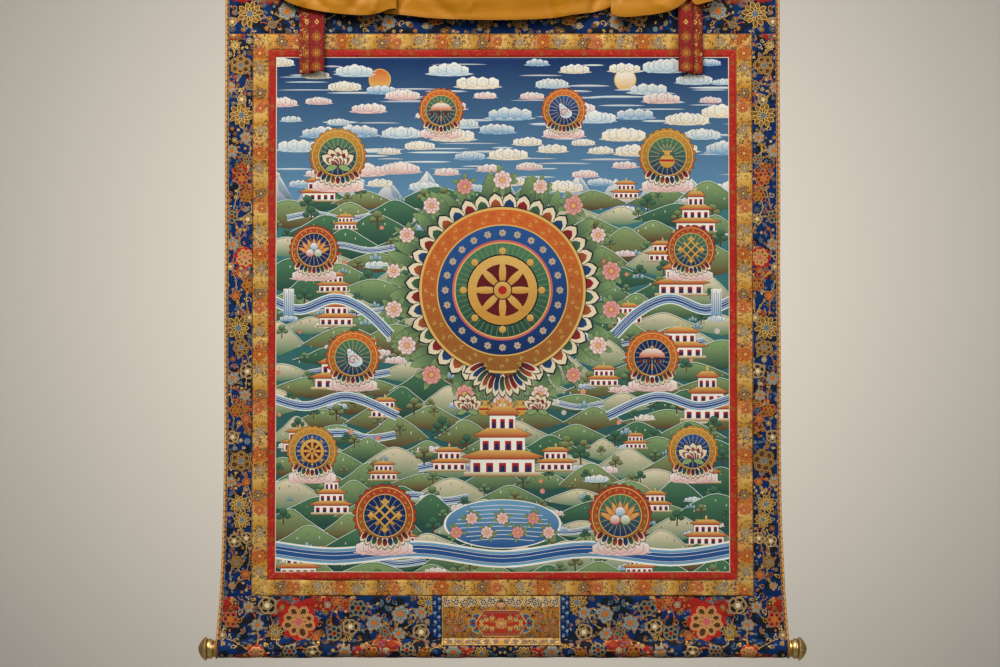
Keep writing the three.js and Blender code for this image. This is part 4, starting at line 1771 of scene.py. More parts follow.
    def strip(self, side: int, top: float) -> None:
        """Weaves a navy strip with a silver scroll.

        Args:
            side: -1 for the left one and 1 for the right one.
            top: its upper edge's height.
        """
        inner = DOOR_CENTRE_X + side * (DOOR_WIDTH / 2 + SEAM_GAP)
        outer = inner + side * STRIP_WIDTH
        low = ROLL_CENTRE_Z + ROLL_RADIUS + 2
        x0, x1 = sorted((inner, outer))
        chart = Motifs(box_of(x0, x1, low, top), NAVY_GROUND, 41)
        middle = (x0 + x1) / 2
        for k in range(9):
            z = mix(top, low, (k + 0.5) / 9)
            sway = 3 if k % 2 else -3
            for grow, dye in ((1.0, Dye.SLATE), (0.62, Dye.PALE)):
                chart.line(spiral((middle + sway * side, z), 3.2 * grow, 1, k, 1 if k % 2 else -1),
                           1.1 * grow, Paint(dye))
            chart.leaf((middle - sway * side, z), math.pi / 2, 5, 2.2, Paint(Dye.SLATE), Paint(Dye.NAVY),
                       0.5)
        name = "door_strip_left" if side < 0 else "door_strip_right"
        made = Cloth(f"{name}_brocade", chart, self.layer, rounding=1.6, sink=0.4, step=5).woven()
        fitted(made, "blue_brocade", name)


class RibbonSize(NamedTuple):
    """A ribbon: its node, left edge, free end, depths at the top and below, swing and cup."""

    node: str
    left: float
    end: float
    top: float
    depth: float
    swing: float
    cup: float


@dataclass
class Ribbons:
    """Four red brocade ribbons in two pairs, free at their lower ends."""

    width: float = 22
    settle: float = 25
    sizes: tuple[RibbonSize, ...] = (
        RibbonSize("ribbon_left_back", -291.3, -167.4, 2.9, 4.8, 2.6, 0.5),
        RibbonSize("ribbon_left_front", -277.1, -164.8, 4.6, 7.4, 3.6, -0.5),
        RibbonSize("ribbon_right_back", 264.9, -167.7, 2.9, 4.8, 2.2, 0.5),
        RibbonSize("ribbon_right_front", 251.8, -165.2, 4.6, 7.4, 3.2, -0.5),
    )

    def build(self) -> None:
        """Weaves the ribbons."""
        for number, size in enumerate(self.sizes):
            self.ribbon(size, number)

    def ribbon(self, size: RibbonSize, number: int) -> None:
        """Weaves one ribbon.

        Args:
            size: its places.
            number: starts its chance draws.
        """

        def place(x: np.ndarray, v: np.ndarray, depth: np.ndarray) -> np.ndarray:
            """Places the ribbon's chart where it hangs.

            Args:
                x: places across.
                v: heights in the chart.
                depth: depths in front of the ribbon's own middle.

            Returns:
                Points in space.
            """
            b = v / size.end
            settled = mix(size.top, size.depth, smooth(-v / self.settle))
            bow = size.swing * smooth((b - 0.42) / 0.58) * np.sin(b * 2.2)
            curl = size.cup * np.cos(((x - size.left) / self.width - 0.5) * math.pi) * np.sin(v / -60)
            return on_cloth(x, v, settled + bow + curl + depth)

        right = size.left + self.width
        chart = Motifs(box_of(size.left, right, size.end, 0), Paint(Dye.RUBY), 50 + number)
        middle = (size.left + right) / 2
        in_front = number % 2 == 1
        threads = (Dye.WINE, Dye.EMBER) if in_front else (Dye.OCHRE, Dye.STRAW, Dye.BROWN, Dye.EMBER)
        for k in range(60 if in_front else 330):
            spot = (chart.chance.uniform(size.left, right), chart.chance.uniform(size.end, 0))
            dye = chart.chance.choice(threads)
            chart.curl(spot, chart.near(1.9), Paint(dye, metal=0.2), 0.9, 0.8)
        for k, z in enumerate((-6, -28, -50, -72, -93.5, -115, -138, -158)):
            if k % 4 == 0:
                chart.lay(ring((middle, z), 3.4, 4, 1.2), PALE_GOLD)
                chart.lay(ring((middle, z), 1.8, 4, 1.2), Paint(Dye.EMBER))
            else:
                chart.lay(ring((middle, z), 8.6, 4, 1.15), Paint(Dye.OCHRE, metal=0.3))
                chart.lay(ring((middle, z), 7.7, 4, 1.15), Paint(Dye.RUBY))
                chart.bloom((middle, z), 6, 6, GOLD_THREAD, Paint(Dye.RUBY, Dye.WINE), COPPER, (1, 0.5),
                            0.7, math.pi / 2, 1.1, 0.5)
        for side in (-1, 1):
            edge = middle + side * (self.width / 2 - 0.9)
            chart.line([(edge, 1), (edge, size.end - 1)], 0.8, Paint(Dye.WINE))
        made = Cloth(f"{size.node}_cloth", chart, Layer(-0.6, 0.6), RIBBON, place, 1.2, 0.3, 6,
                     Paint(Dye.RUBY)).woven()
        fitted(made, "ribbon_brocade", size.node)


def squared(share: float, power: float) -> float:
    """Returns a sine or cosine with its sign kept, squarer for a lower power."""
    return math.copysign(abs(share) ** power, share)


@dataclass
class Binding:
    """The silk piping down a side edge and round the roll's end.

    Fields: side, -1 for the left, and the piping's depths and the ring's sizes.
    """

    side: int
    back: float = -0.3
    front: float = 2.7
    ring_length: float = 3
    ring_hole: float = 9.6

    def build(self) -> None:
        """Makes the piping and its ring as one piece."""
        edge, ring_part = self.edge(), self.ring()
        ring_part = (ring_part[0], ring_part[1] + len(edge[0]), *ring_part[2:])
        points, triangles, tints, places = (np.concatenate(pair) for pair in zip(edge, ring_part))
        name = "side_binding_left" if self.side < 0 else "side_binding_right"
        low, span = places.min(axis=0), np.ptp(places, axis=0)
        bake = (places - low) / span * 0.98 + 0.01
        made = mesh_object(f"{name}_silk", Cut3(points, triangles, tints, places, bake))
        made.data.materials.append(PIPING.material())
        smooth_by_angle(made, TUBE_ANGLE)
        fitted(made, "orange_binding", name)

    def wrap(self, rows: int, sides: int, at: Callable[[int, int], Space],
             tone: Callable[[int, int], Dye], closed: bool, along: float) -> tuple[np.ndarray, ...]:
        """Makes a tube of cloth from its rows.

        Args:
            rows: how many rows of points.
            sides: how many points a row has.
            at: gives a point for a row and a side.
            tone: gives the dye for a row and a side.
            closed: whether its last row joins its first.
            along: the spacing of the rows in the pattern map.

        Returns:
            Its points, triangles, corner tints and corner places.
        """
        points = np.array([at(j, i) for j in range(rows) for i in range(sides)])
        triangles, tints, places = [], [], []
        turns = rows if closed else rows - 1
        for j in range(turns):
            for i in range(sides):
                n, m = (i + 1) % sides, (j + 1) % rows
                a, b, c, d = j * sides + i, j * sides + n, m * sides + n, m * sides + i
                triangles += [(a, b, c), (a, c, d)]
                tint = np.append(tone(j, i).linear, 0)
                tints += [tint] * 6
                x0, x1, z0, z1 = i * 1.4, (i + 1) * 1.4, j * along, (j + 1) * along
                places += [(x0, z0), (x1, z0), (x1, z1), (x0, z0), (x1, z1), (x0, z1)]
        if not closed:
            for first, flip in ((0, 1), ((rows - 1) * sides, -1)):
                for i in range(1, sides - 1):
                    triangles.append((first, first + i + 1, first + i)[::flip])
                    tints += [np.append(Dye.OCHRE.linear, 0)] * 3
                    places += [(0, 0)] * 3
        made = np.array(triangles)
        volume = np.einsum("ij,ij->i", points[made[:, 0]],
                           np.cross(points[made[:, 1]], points[made[:, 2]])).sum()
        if volume < 0:
            made = made[:, ::-1]
        return points, made, np.array(tints), np.array(places)

    def edge(self) -> tuple[np.ndarray, ...]:
        """Makes the piping down the side edge.

        Returns:
            Its points, triangles, corner tints and corner places.
        """
        end = ROLL_CENTRE_Z + RING_RADIUS - 0.4
        rows, sides = 400, 12
        half_depth = (self.front - self.back) / 2
        middle = (self.front + self.back) / 2

        def at(row: int, side: int) -> Space:
            """Gives a point on the piping's rounded section.

            Args:
                row: how far down it is.
                side: how far round it is.

            Returns:
                The point.
            """
            z = end * row / (rows - 1)
            angle = TAU * side / sides
            bulge = 1 + 0.035 * math.sin(row * 2.1)
            across, out = squared(math.cos(angle), 0.45), squared(math.sin(angle), 0.5)
            x = float(half_width_at(z)) - BINDING_WIDTH / 2 + across * BINDING_WIDTH / 2
            depth = float(hang_at(np.array(self.side * x), np.array(z))) + middle + out * half_depth * bulge
            return self.side * x, -depth, z

        def tone(row: int, side: int) -> Dye:
            """Gives the outer edge's brown line, the stitches and the silk between.

            Args:
                row: how far down it is.
                side: how far round it is.

            Returns:
                The dye.
            """
            angle = TAU * (side + 0.5) / sides
            if abs(math.cos(angle)) > 0.5:
                return Dye.BROWN
            if math.cos(angle) > 0:
                return Dye.STRAW if row % 4 else Dye.AMBER
            return Dye.AMBER if row % 3 else Dye.BROWN

        return self.wrap(rows, sides, at, tone, False, -end / rows)

    def ring(self) -> tuple[np.ndarray, ...]:
        """Makes the piping ring round the roll's end.

        Returns:
            Its points, triangles, corner tints and corner places.
        """
        sides, rows = 12, 96
        start = ROLL_HALF_LENGTH + SEAM_GAP
        middle = (RING_RADIUS + self.ring_hole) / 2
        half = (RING_RADIUS - self.ring_hole) / 2

        def at(row: int, side: int) -> Space:
            """Gives a point on the ring's rounded section.

            Args:
                row: how far round the roll it is.
                side: how far round the section it is.

            Returns:
                The point.
            """
            angle, turn = TAU * side / sides, TAU * row / rows
            across, out = squared(math.cos(angle), 0.6), squared(math.sin(angle), 0.6)
            reach = middle + out * half
            x = start + self.ring_length / 2 * (1 + across)
            y, z = -(ROLL_DEPTH + reach * math.cos(turn)), ROLL_CENTRE_Z + reach * math.sin(turn)
            return self.side * x, y, z

        def tone(row: int, side: int) -> Dye:
            """Gives the ring's silk, browner at its outer face."""
            return Dye.BROWN if side in (0, 11) else (Dye.OCHRE if row % 3 else Dye.AMBER)

        return self.wrap(rows, sides, at, tone, True, TAU * RING_RADIUS / rows)


class Station(NamedTuple):
    """A station along the veil: its place below and at the top, its hem, depth, lift and gathers."""

    x: float
    top: float
    hem: float
    depth: float
    lift: float
    pleat: float


@dataclass
class Veil:
    """The saffron silk gathered at the top edge, in swags with folds between them.

    Its length, drop and hem_width are for the pattern map. Each crease is its start and end across
    and in height, its width and how far it stands forward.
    """

    top_z: float = -1
    top_depth: float = 9.4
    pleats: int = 17
    thickness: float = 1
    columns: int = 300
    rows: int = 40
    length: float = 1100
    drop: float = 85
    hem_width: float = 3.2
    stations: tuple[Station, ...] = tuple(starmap(Station, (
        (-350, -346, 13, 9.4, 0, 0.5), (-336, -334, 38, 10.6, 0, 1.2), (-315, -316, 60, 12, 0, 1.4),
        (-290, -293, 71, 13.8, 0.4, 1.4), (-255, -262, 79, 15.6, 1, 1.4),
        (-206, -216, 84, 17.5, 2.4, 1.4), (-180, -190, 82, 18, 4, 1), (-163, -170, 76, 18, 5.6, 0.3),
        (-152, -155, 75, 17, 6, 0), (-158, -159, 78, 12.5, 3, 0), (-170, -164, 80, 8.4, 0.4, 0),
        (-158, -157, 81, 7.6, 0, 0), (-134, -140, 84, 11, 0, 0.8), (-100, -108, 88, 15, 0, 1.4),
        (-50, -55, 90.5, 18, 0.6, 1.4), (10, 10, 91, 19, 1, 1.4), (60, 62, 89, 18, 0.6, 1.4),
        (106, 110, 82.5, 14.5, 0, 1.2), (134, 136, 78, 11, 0, 0.6), (150, 150, 73, 8.2, 0, 0),
        (163, 160, 66, 7.8, 0.4, 0), (156, 157, 75, 12.5, 3.2, 0), (157, 155, 83, 17, 6, 0),
        (174, 172, 87, 18.5, 5, 0.6), (202, 200, 84.5, 17.5, 2.6, 1.2), (235, 232, 79, 15.4, 1, 1),
        (254, 251, 70, 13.6, 0.4, 0.5), (268, 265, 58, 12.8, 0, 0), (278, 273, 54, 12.6, 0.4, 0),
        (271, 270, 62, 16.6, 3.4, 0), (277, 275, 69, 18.6, 6, 0), (291, 288, 66, 17, 4.4, 0.6),
        (306, 302, 60, 14.5, 2, 1), (322, 318, 44, 11.5, 0.6, 1), (336, 332, 14, 9.4, 0, 0.5),
    )))
    creases: tuple[tuple[float, ...], ...] = (
        (-345, -5, -255, -72, 6, -2.4), (-340, -4, -215, -60, 8, 2.4), (-172, -10, -214, -72, 7, -3),
        (-166, -30, -184, -78, 5, 2.4), (-250, -8, -272, -62, 9, -2.2), (-300, -30, -286, -66, 6, 1.8),
        (-150, -76, -122, -36, 5, -3.6), (-142, -30, -70, -88, 8, -2.6), (-64, -36, -62, -90, 5, 2.6),
        (-28, -50, -50, -78, 4, 1.6), (56, -30, 74, -90, 6, -4), (88, -40, 100, -82, 6, 2.4),
        (142, -40, 128, -78, 6, -4), (12, -16, 2, -62, 14, -1.6), (160, -40, 166, -62, 4, -3),
        (206, -42, 212, -82, 6, -2.4), (168, -30, 238, -76, 7, 2.2), (258, -26, 224, -62, 6, -2.6),
        (284, -18, 300, -62, 5, -2.4),
    )

    def at(self, place: np.ndarray) -> np.ndarray:
        """Smooth values between the stations.

        Args:
            place: places counted in stations.

        Returns:
            A row for each place, with a station's six values.
        """
        table = np.array(self.stations)
        last = len(table) - 1
        first = np.clip(np.floor(place).astype(int), 0, last - 1)
        a, b, c, d = (table[np.clip(first + step, 0, last)] for step in (-1, 0, 1, 2))
        t = (place - first)[:, None]
        return b + 0.5 * t * (c - a + t * (2 * a - 5 * b + 4 * c - d + t * (3 * (b - c) + d - a)))

    def creased(self, x: np.ndarray, z: np.ndarray) -> np.ndarray:
        """How far the creases bring the silk forward.

        Args:
            x: places across.
            z: heights.

        Returns:
            The added depths.
        """
        total = np.zeros_like(x)
        for x0, z0, x1, z1, width, rise in self.creases:
            way = np.array([x1 - x0, z1 - z0])
            share = np.clip(((x - x0) * way[0] + (z - z0) * way[1]) / (way @ way), 0, 1)
            far = np.hypot(x - x0 - share * way[0], z - z0 - share * way[1])
            total += rise * np.exp(-((far / width) ** 2)) * np.sqrt(share)
        return total

    def middle(self, along: np.ndarray, down: np.ndarray) -> np.ndarray:
        """The veil's middle surface.

        Args:
            along: shares of the way along it.
            down: shares of the way down it.

        Returns:
            Points in space.
        """
        values = self.at(np.clip(along, 0, 1) * (len(self.stations) - 1))
        low, top, hem, depth, lift, pleat = values.T
        x = mix(top, low, smooth(down * 1.3))
        z = self.top_z - hem * down
        gather = pleat * (1 - down) ** 2 * np.sin(TAU * self.pleats * along)
        belly = np.sin(math.pi * np.clip(down * 0.94, 0, 1) / 1.25)
        ridge = 0.02 * hem * np.sin(down * 15 + along * 9) * np.sin(math.pi * down)
        forward = mix(self.top_depth + lift, depth, belly) + gather + ridge + self.creased(x, z)
        return np.stack([x, -(hang_at(x, z) + forward), z], axis=1)

    def build(self) -> None:
        """Makes the veil."""
        across, down = np.meshgrid(np.linspace(0, 1, self.columns + 1), np.linspace(0, 1, self.rows + 1))
        a, b = across.ravel(), down.ravel()
        near = 1e-3
        middle = self.middle(a, b)
        along = self.middle(a + near, b) - self.middle(a - near, b)
        below = self.middle(a, np.minimum(1, b + near)) - self.middle(a, np.maximum(0, b - near))
        normal = np.cross(below, along)
        normal /= np.linalg.norm(normal, axis=1)[:, None]
        count = len(a)
        points = np.concatenate([middle + normal * self.thickness / 2,
                                 middle - normal * self.thickness / 2])
        wide = self.columns + 1
        quads = []
        for j in range(self.rows):
            for i in range(self.columns):
                p = j * wide + i
                quads.append((p, p + wide, p + wide + 1, p + 1))
        quads = np.array(quads)
        rim = [j * wide for j in range(self.rows + 1)]
        rim += [self.rows * wide + i for i in range(1, wide)]
        rim += [j * wide + self.columns for j in range(self.rows - 1, -1, -1)]
        rim += [i for i in range(self.columns - 1, 0, -1)]
        walls = np.array([(r, r + count, rim[(k + 1) % len(rim)] + count, rim[(k + 1) % len(rim)])
                          for k, r in enumerate(rim)])
        faces = np.concatenate([quads, quads[:, ::-1] + count, walls])
        triangles = np.concatenate([faces[:, [0, 1, 2]], faces[:, [0, 2, 3]]])
        flat = np.stack([np.tile(a, 2) * self.length, -np.tile(b, 2) * self.drop], axis=1)
        places = flat[triangles.ravel()]
        tone, edge = Dye.SAFFRON.linear, Dye.SAFFRON.linear * 0.86
        near_hem = (np.tile(b, 2) > 1 - self.hem_width / self.drop)[triangles.ravel()][:, None]
        tints = np.concatenate([np.where(near_hem, edge, tone), np.zeros((len(places), 1))], axis=1)
        share = np.stack([np.tile(a, 2), np.tile(b, 2)], axis=1)[triangles.ravel()] * 0.98 + 0.01
        back = (triangles >= count).any(axis=1).repeat(3)
        share[:, 1] = np.where(back, 0.5 + share[:, 1] * 0.45, share[:, 1] * 0.45)
        made = mesh_object("veil_silk", Cut3(points, triangles, tints, places, share))
        made.data.materials.append(SILK.material())
        smooth_by_angle(made, TUBE_ANGLE)
        fitted(made, "veil_silk", "veil")


class Turn(NamedTuple):
    """A row of the knob's profile: how far out from the roll and its radius."""

    out: float
    radius: float


@dataclass(frozen=True)
class Brass:
    """Cast brass, rubbed bright on its ridges and dark in its grooves."""

    name: str = "brass_patina"
    bright: tuple[float, float, float, float] = (0.98, 0.66, 0.25, 1)
    dark: tuple[float, float, float, float] = (0.07, 0.038, 0.014, 1)

    def material(self) -> bpy.types.Material:
        """Makes the brass, once for both knobs.

        Returns:
            The material.
        """
        if self.name in bpy.data.materials:
            return bpy.data.materials[self.name]
        nodes = Nodes(self.name)
        place = nodes.add("ShaderNodeTexCoord").outputs["Object"]
        worn = nodes.add("ShaderNodeTexNoise", place, Scale=260, Detail=6)
        ridge = nodes.add("ShaderNodeNewGeometry").outputs["Pointiness"]
        edge = nodes.math("MULTIPLY_ADD", ridge, 9, -4.1)
        share = nodes.math("ADD", edge, nodes.math("MULTIPLY_ADD", worn.outputs["Fac"], 0.8, -0.3))
        blend = nodes.add("ShaderNodeValToRGB")
        nodes.link(share, blend.inputs[0])
        blend.color_ramp.elements[0].color = self.dark
        blend.color_ramp.elements[1].color = self.bright
        nodes.link(blend.outputs[0], nodes.shader.inputs["Base Color"])
        nodes.shader.inputs["Metallic"].default_value = 0.95
        rough = nodes.math("MULTIPLY_ADD", worn.outputs["Fac"], 0.3, 0.2)
        nodes.link(rough, nodes.shader.inputs["Roughness"])
        dents = nodes.add("ShaderNodeBump", Height=worn.outputs["Fac"], Strength=0.25, Distance=0.0006)
        nodes.link(dents.outputs[0], nodes.shader.inputs["Normal"])
        return nodes.material


@dataclass
class Knob:
    """A turned brass knob at an end of the roll, -1 for the left one."""

    side: int
    sides: int = 64
    profile: tuple[Turn, ...] = tuple(starmap(Turn, (
        (0, 9.1), (3.5, 9.1), (3.5, 11.9), (4.6, 12.3), (5.4, 11.4), (6.4, 11.8), (8.2, 13.4),
        (10, 14.2), (11.8, 14.4), (13.4, 14), (14.2, 13.6), (15.2, 14.2), (16.2, 16.2), (17.2, 16.9),
        (18.2, 16.4), (20.6, 14.6), (23, 12), (25.2, 9), (27, 5.6), (28.1, 2.4),
    )))

    def build(self) -> None:
        """Models the knob from a circle that is extruded and resized row by row."""
        start = self.side * (ROLL_HALF_LENGTH + SEAM_GAP) / METRE
        centre = Vector((start, -ROLL_DEPTH / METRE, ROLL_CENTRE_Z / METRE))
        only_none()
        first = self.profile[0]
        bpy.ops.mesh.primitive_circle_add(
            vertices=self.sides, radius=first.radius / METRE, fill_type="NGON", location=centre,
            rotation=(0, self.side * math.pi / 2, 0),
        )
        made = bpy.context.object
        bpy.ops.object.transform_apply(location=True, rotation=True, scale=True)
        bpy.ops.object.mode_set(mode="EDIT")
        bpy.ops.mesh.select_all(action="SELECT")
        for before, after in zip(self.profile, self.profile[1:]):
            move = self.side * (after.out - before.out) / METRE
            bpy.ops.mesh.extrude_region_move(TRANSFORM_OT_translate={"value": (move, 0, 0)})
            grow = after.radius / before.radius
            at = (start + self.side * after.out / METRE, centre.y, centre.z)
            bpy.ops.transform.resize(value=(1, grow, grow), center_override=at)
        bpy.ops.mesh.inset(thickness=self.profile[-1].radius / METRE * 0.7, depth=0.0002)
        bpy.ops.mesh.select_all(action="SELECT")
        bpy.ops.mesh.normals_make_consistent(inside=False)
        bpy.ops.object.mode_set(mode="OBJECT")
        self.flute(made, centre)
        name = "knob_left" if self.side < 0 else "knob_right"
        made.name = f"{name}_brass"
        made.data.materials.append(Brass().material())
        smooth_by_angle(made, KNOB_ANGLE)
        fitted(made, "knob_brass", name)

    def flute(self, made: bpy.types.Object, centre: Vector) -> None:
        """Presses shallow flutes into the domed end and beads into the rim.

        Args:
            made: the knob.
            centre: the middle of its inner end.
        """
        for vertex in made.data.vertices:
            out = abs(vertex.co.x - centre.x) * METRE
            y, z = vertex.co.y - centre.y, vertex.co.z - centre.z
            angle = math.atan2(z, y)
            petals = 0.035 * math.cos(angle * 16) if 18.5 < out < 26 else 0
            beads = 0.02 * math.cos(angle * 32) if 16 < out < 18.5 or 9 < out < 12.5 else 0
            share = 1 + petals + beads - (0.02 if petals or beads else 0)
            vertex.co.y = centre.y + y * share
            vertex.co.z = centre.z + z * share


class Sign(Enum):
    """The auspicious signs shown in the painting's medallions."""

    WHEEL = 1
    LOTUS = 2
    VASE = 3
    JEWEL = 4
    KNOT = 5
    PARASOL = 6
    CONCH = 7


class Landscape(Motifs):
    """A chart with clouds, hills, water, trees, pavilions and medallions of generic signs."""

    outline_paint = Paint(Dye.INK)
    greens = ((Dye.LEAF, Dye.FOREST), (Dye.GREEN, Dye.FOREST), (Dye.LEAF, Dye.BROWN),
              (Dye.CREAM, Dye.GREEN))

    def edged(self, shape: Callable[[float], Path], paint: Paint, rim: float = 0.45) -> None:
        """Lays a shape over a slightly larger dark one, as its outline.

        Args:
            shape: makes the shape, larger by a width.
            paint: what fills it.
            rim: the outline's width.
        """
        self.lay(shape(rim), self.outline_paint)
        self.lay(shape(0), paint)

    def cloud(self, at: Point, size: float, lobes: int = 5, blush: bool = False) -> None:
        """Lays a bank of rounded cloud.

        Args:
            at: its middle.
            size: half its width.
            lobes: how many heads it has.
            blush: whether its underside is pink.
        """
        shade = Dye.PINK if blush else self.chance.choice((Dye.SKY, Dye.PALE, Dye.CREAM))
        self.lay(petal((at[0] - size * 1.15, at[1] - size * 0.1), 0, size * 2.3, size * 0.22),
                 Paint(Dye.WHITE, shade))
        order = sorted(range(lobes), key=lambda k: -abs(2 * k - lobes + 1))
        for k in order:
            spread = (k - (lobes - 1) / 2) / lobes
            reach = size * (0.34 - 0.35 * spread**2) * self.chance.uniform(0.85, 1.15)
            centre = (at[0] + spread * size * 1.8, at[1] + size * (0.14 - 0.5 * spread**2))
            for grow, paint in ((0.5, Paint(Dye.BLUE)), (0, Paint(Dye.WHITE, shade))):
                self.lay(scallops(centre, reach + grow, 6, 0.14, 0.82), paint)
            self.line(spiral(centre, reach * 0.55, 0.7, self.chance.uniform(0, TAU)), 0.55, Paint(Dye.SKY))

    def hill(self, middle: float, base: float, width: float, height: float) -> None:
        """Lays a hill with a pale ridge and tufts of grass.

        Args:
            middle: where it stands across.
            base: its foot's height.
            width: half its width.
            height: its height.
        """
        ridge = flowing([
            (middle - width, base),
            (middle - width * 0.5, base + height * self.near(0.55)),
            (middle, base + height),
            (middle + width * 0.5, base + height * self.near(0.6)),
            (middle + width, base),
        ], 4)
        self.lay(ridge + [(middle, base - height * 0.5)], Paint(*self.chance.choice(self.greens)))
        self.line(ridge, 0.9, Paint(Dye.MIST))
        self.line([(x, y - 1.3) for x, y in ridge], 0.6, Paint(Dye.FOREST))
        for x, y in ridge[2:-2:2]:
            tone = Paint(self.chance.choice((Dye.LEAF, Dye.MIST, Dye.TEAL)))
            self.lay(petal((x, y - self.near(height * 0.4)), math.pi / 2, self.near(4), 1.6), tone)

    def tree(self, at: Point, size: float) -> None:
        """Lays a tree with a few rounded masses of leaves.

        Args:
            at: its foot.
            size: its height.
        """
        x, y = at
        self.line([(x, y), (x + self.chance.uniform(-1, 1), y + size * 0.6)], size * 0.08, Paint(Dye.BROWN))
        paint = Paint(*self.chance.choice(self.greens[:3]))
        for dx, dy, reach in ((-0.24, 0.46, 0.2), (0.24, 0.5, 0.2), (0, 0.74, 0.25)):
            centre = (x + dx * size, y + dy * size)
            self.edged(lambda grow: scallops(centre, reach * size + grow, 5, 0.16, 0.8, dx), paint)

    def rock(self, at: Point, size: float) -> None:
        """Lays three blue-green rocks side by side.

        Args:
            at: the middle one's foot.
            size: its height.
        """
        for k in (-1, 1, 0):
            root = (at[0] + k * size * 0.4, at[1])
            tall = size * (1 if k == 0 else 0.7)
            self.leaf(root, math.pi / 2 - k * 0.2, tall, size * 0.55, self.outline_paint,
                      Paint(Dye.PALE, Dye.TEAL), 0.4)

    def river(self, course: Sequence[Point], width: float) -> None:
        """Lays a river with foam lines.

        Args:
            course: the points that it passes.
            width: its width.
        """
        path = flowing(course, 6)
        for share, dye in ((1.25, Dye.WHITE), (1, Dye.SKY), (0.7, Dye.BLUE)):
            self.line(path, width * share, Paint(dye))
        for side in (-0.3, 0.05, 0.3):
            self.line([(x, y + width * side) for x, y in path], 0.6, Paint(Dye.WHITE))

    def waterfall(self, at: Point, width: float, height: float) -> None:
        """Lays a waterfall with foam at its foot.

        Args:
            at: its foot.
            width: its width.
            height: its height.
        """
        self.lay(box_of(at[0] - width / 2, at[0] + width / 2, at[1], at[1] + height),
                 Paint(Dye.WHITE, Dye.SKY))
        for k in range(5):
            x = at[0] + width * (k / 5 - 0.4)
            self.line([(x, at[1]), (x, at[1] + height * self.near(0.9, 0.1))], 0.7, Paint(Dye.BLUE))
        self.cloud(at, width * 0.9, 4)

    def pavilion(self, at: Point, width: float, storeys: int = 2) -> None:
        """Lays a pavilion with white walls, red posts and swept golden roofs.

        Args:
            at: the middle of its foot.
            width: the width of its lowest storey.
            storeys: how many storeys it has.
        """
        x, y = at
        high = width * 0.2
        self.lay(box_of(x - width * 0.6, x + width * 0.6, y - high * 0.35, y), Paint(Dye.CREAM, Dye.OCHRE))
        for level in range(storeys):
            half = width / 2 * (1 - 0.3 * level)
            foot = y + level * high * 1.7
            self.edged(lambda grow: box_of(x - half - grow, x + half + grow, foot, foot + high),
                       Paint(Dye.WHITE))
            bays = 5 - level
            for k in range(bays):
                post = x + half * ((k + 0.5) / bays * 2 - 1)
                wide = half / bays * 0.55
                self.lay(box_of(post - wide, post + wide, foot, foot + high * 0.72),
                         Paint(Dye.CRIMSON, Dye.WINE))
                self.lay(box_of(post - wide / 2, post + wide / 2, foot, foot + high * 0.5), Paint(Dye.NAVY))
            eave = foot + high
            tips = [
                (x - half * 1.3, eave + high * 0.2), (x - half, eave), (x + half, eave),
                (x + half * 1.3, eave + high * 0.2), (x + half * 0.7, eave + high * 0.7),
                (x - half * 0.7, eave + high * 0.7),
            ]
            self.lay(shrunk(tips, -0.5), self.outline_paint)
            self.lay(tips, Paint(Dye.STRAW, Dye.EMBER))
            self.line([tips[5], tips[4]], 0.9, Paint(Dye.STRAW))
        self.lay(petal((x, y + storeys * high * 1.7), math.pi / 2, high * 0.7, high * 0.3),
                 Paint(Dye.STRAW))

    def peony(self, at: Point, size: float) -> None:
        """Lays a pink peony on dark leaves.

        Args:
            at: its middle.
            size: its radius.
        """
        for k in range(6):
            angle = TAU * (k + self.chance.random()) / 6
            self.leaf(at, angle, size * 1.7, size * 0.7, self.outline_paint, Paint(Dye.LEAF, Dye.FOREST),
                      0.45)
        fill = Paint(Dye.WHITE, Dye.ROSE) if self.chance.random() < 0.7 else Paint(Dye.PINK, Dye.CRIMSON)
        self.bloom(at, size, 8, Paint(Dye.ROSE), fill, Paint(Dye.STRAW), (1, 0.7), 0.5,
                   self.chance.random(), 1.3, 0.4)

    def petals(self, at: Point, inner: float, outer: float, count: int, dyes: Sequence[Dye],
               arc: Point = (0, TAU)) -> None:
        """Lays a ring of lotus petals in turning colours.

        Args:
            at: the ring's middle.
            inner: where the petals start.
            outer: where they end.
            count: how many there are.
            dyes: their colours, in turn.
            arc: the ring's first and last angle.
        """
        for k in range(count):
            angle = mix(*arc, (k + 0.5) / count)
            width = (arc[1] - arc[0]) * outer / count
            root = away(at, angle, inner)
            for share, paint in ((1, self.outline_paint), (0.92, Paint(Dye.CREAM)),
                                 (0.7, Paint(dyes[k % len(dyes)], Dye.INK))):
                shape = petal(root, angle, (outer - inner) * share, width * share, 0.9, 0.45)
                self.lay(shape, paint, away(at, angle, outer), root)

    def ring_of(self, at: Point, bands: Sequence[tuple[float, Paint]], count: int = 40) -> None:
        """Lays discs one inside another.

        Args:
            at: their middle.
            bands: each one's radius and paint, the largest first.
            count: how many points are round each.
        """
        for radius, paint in bands:
            self.lay(ring(at, radius, count), paint)

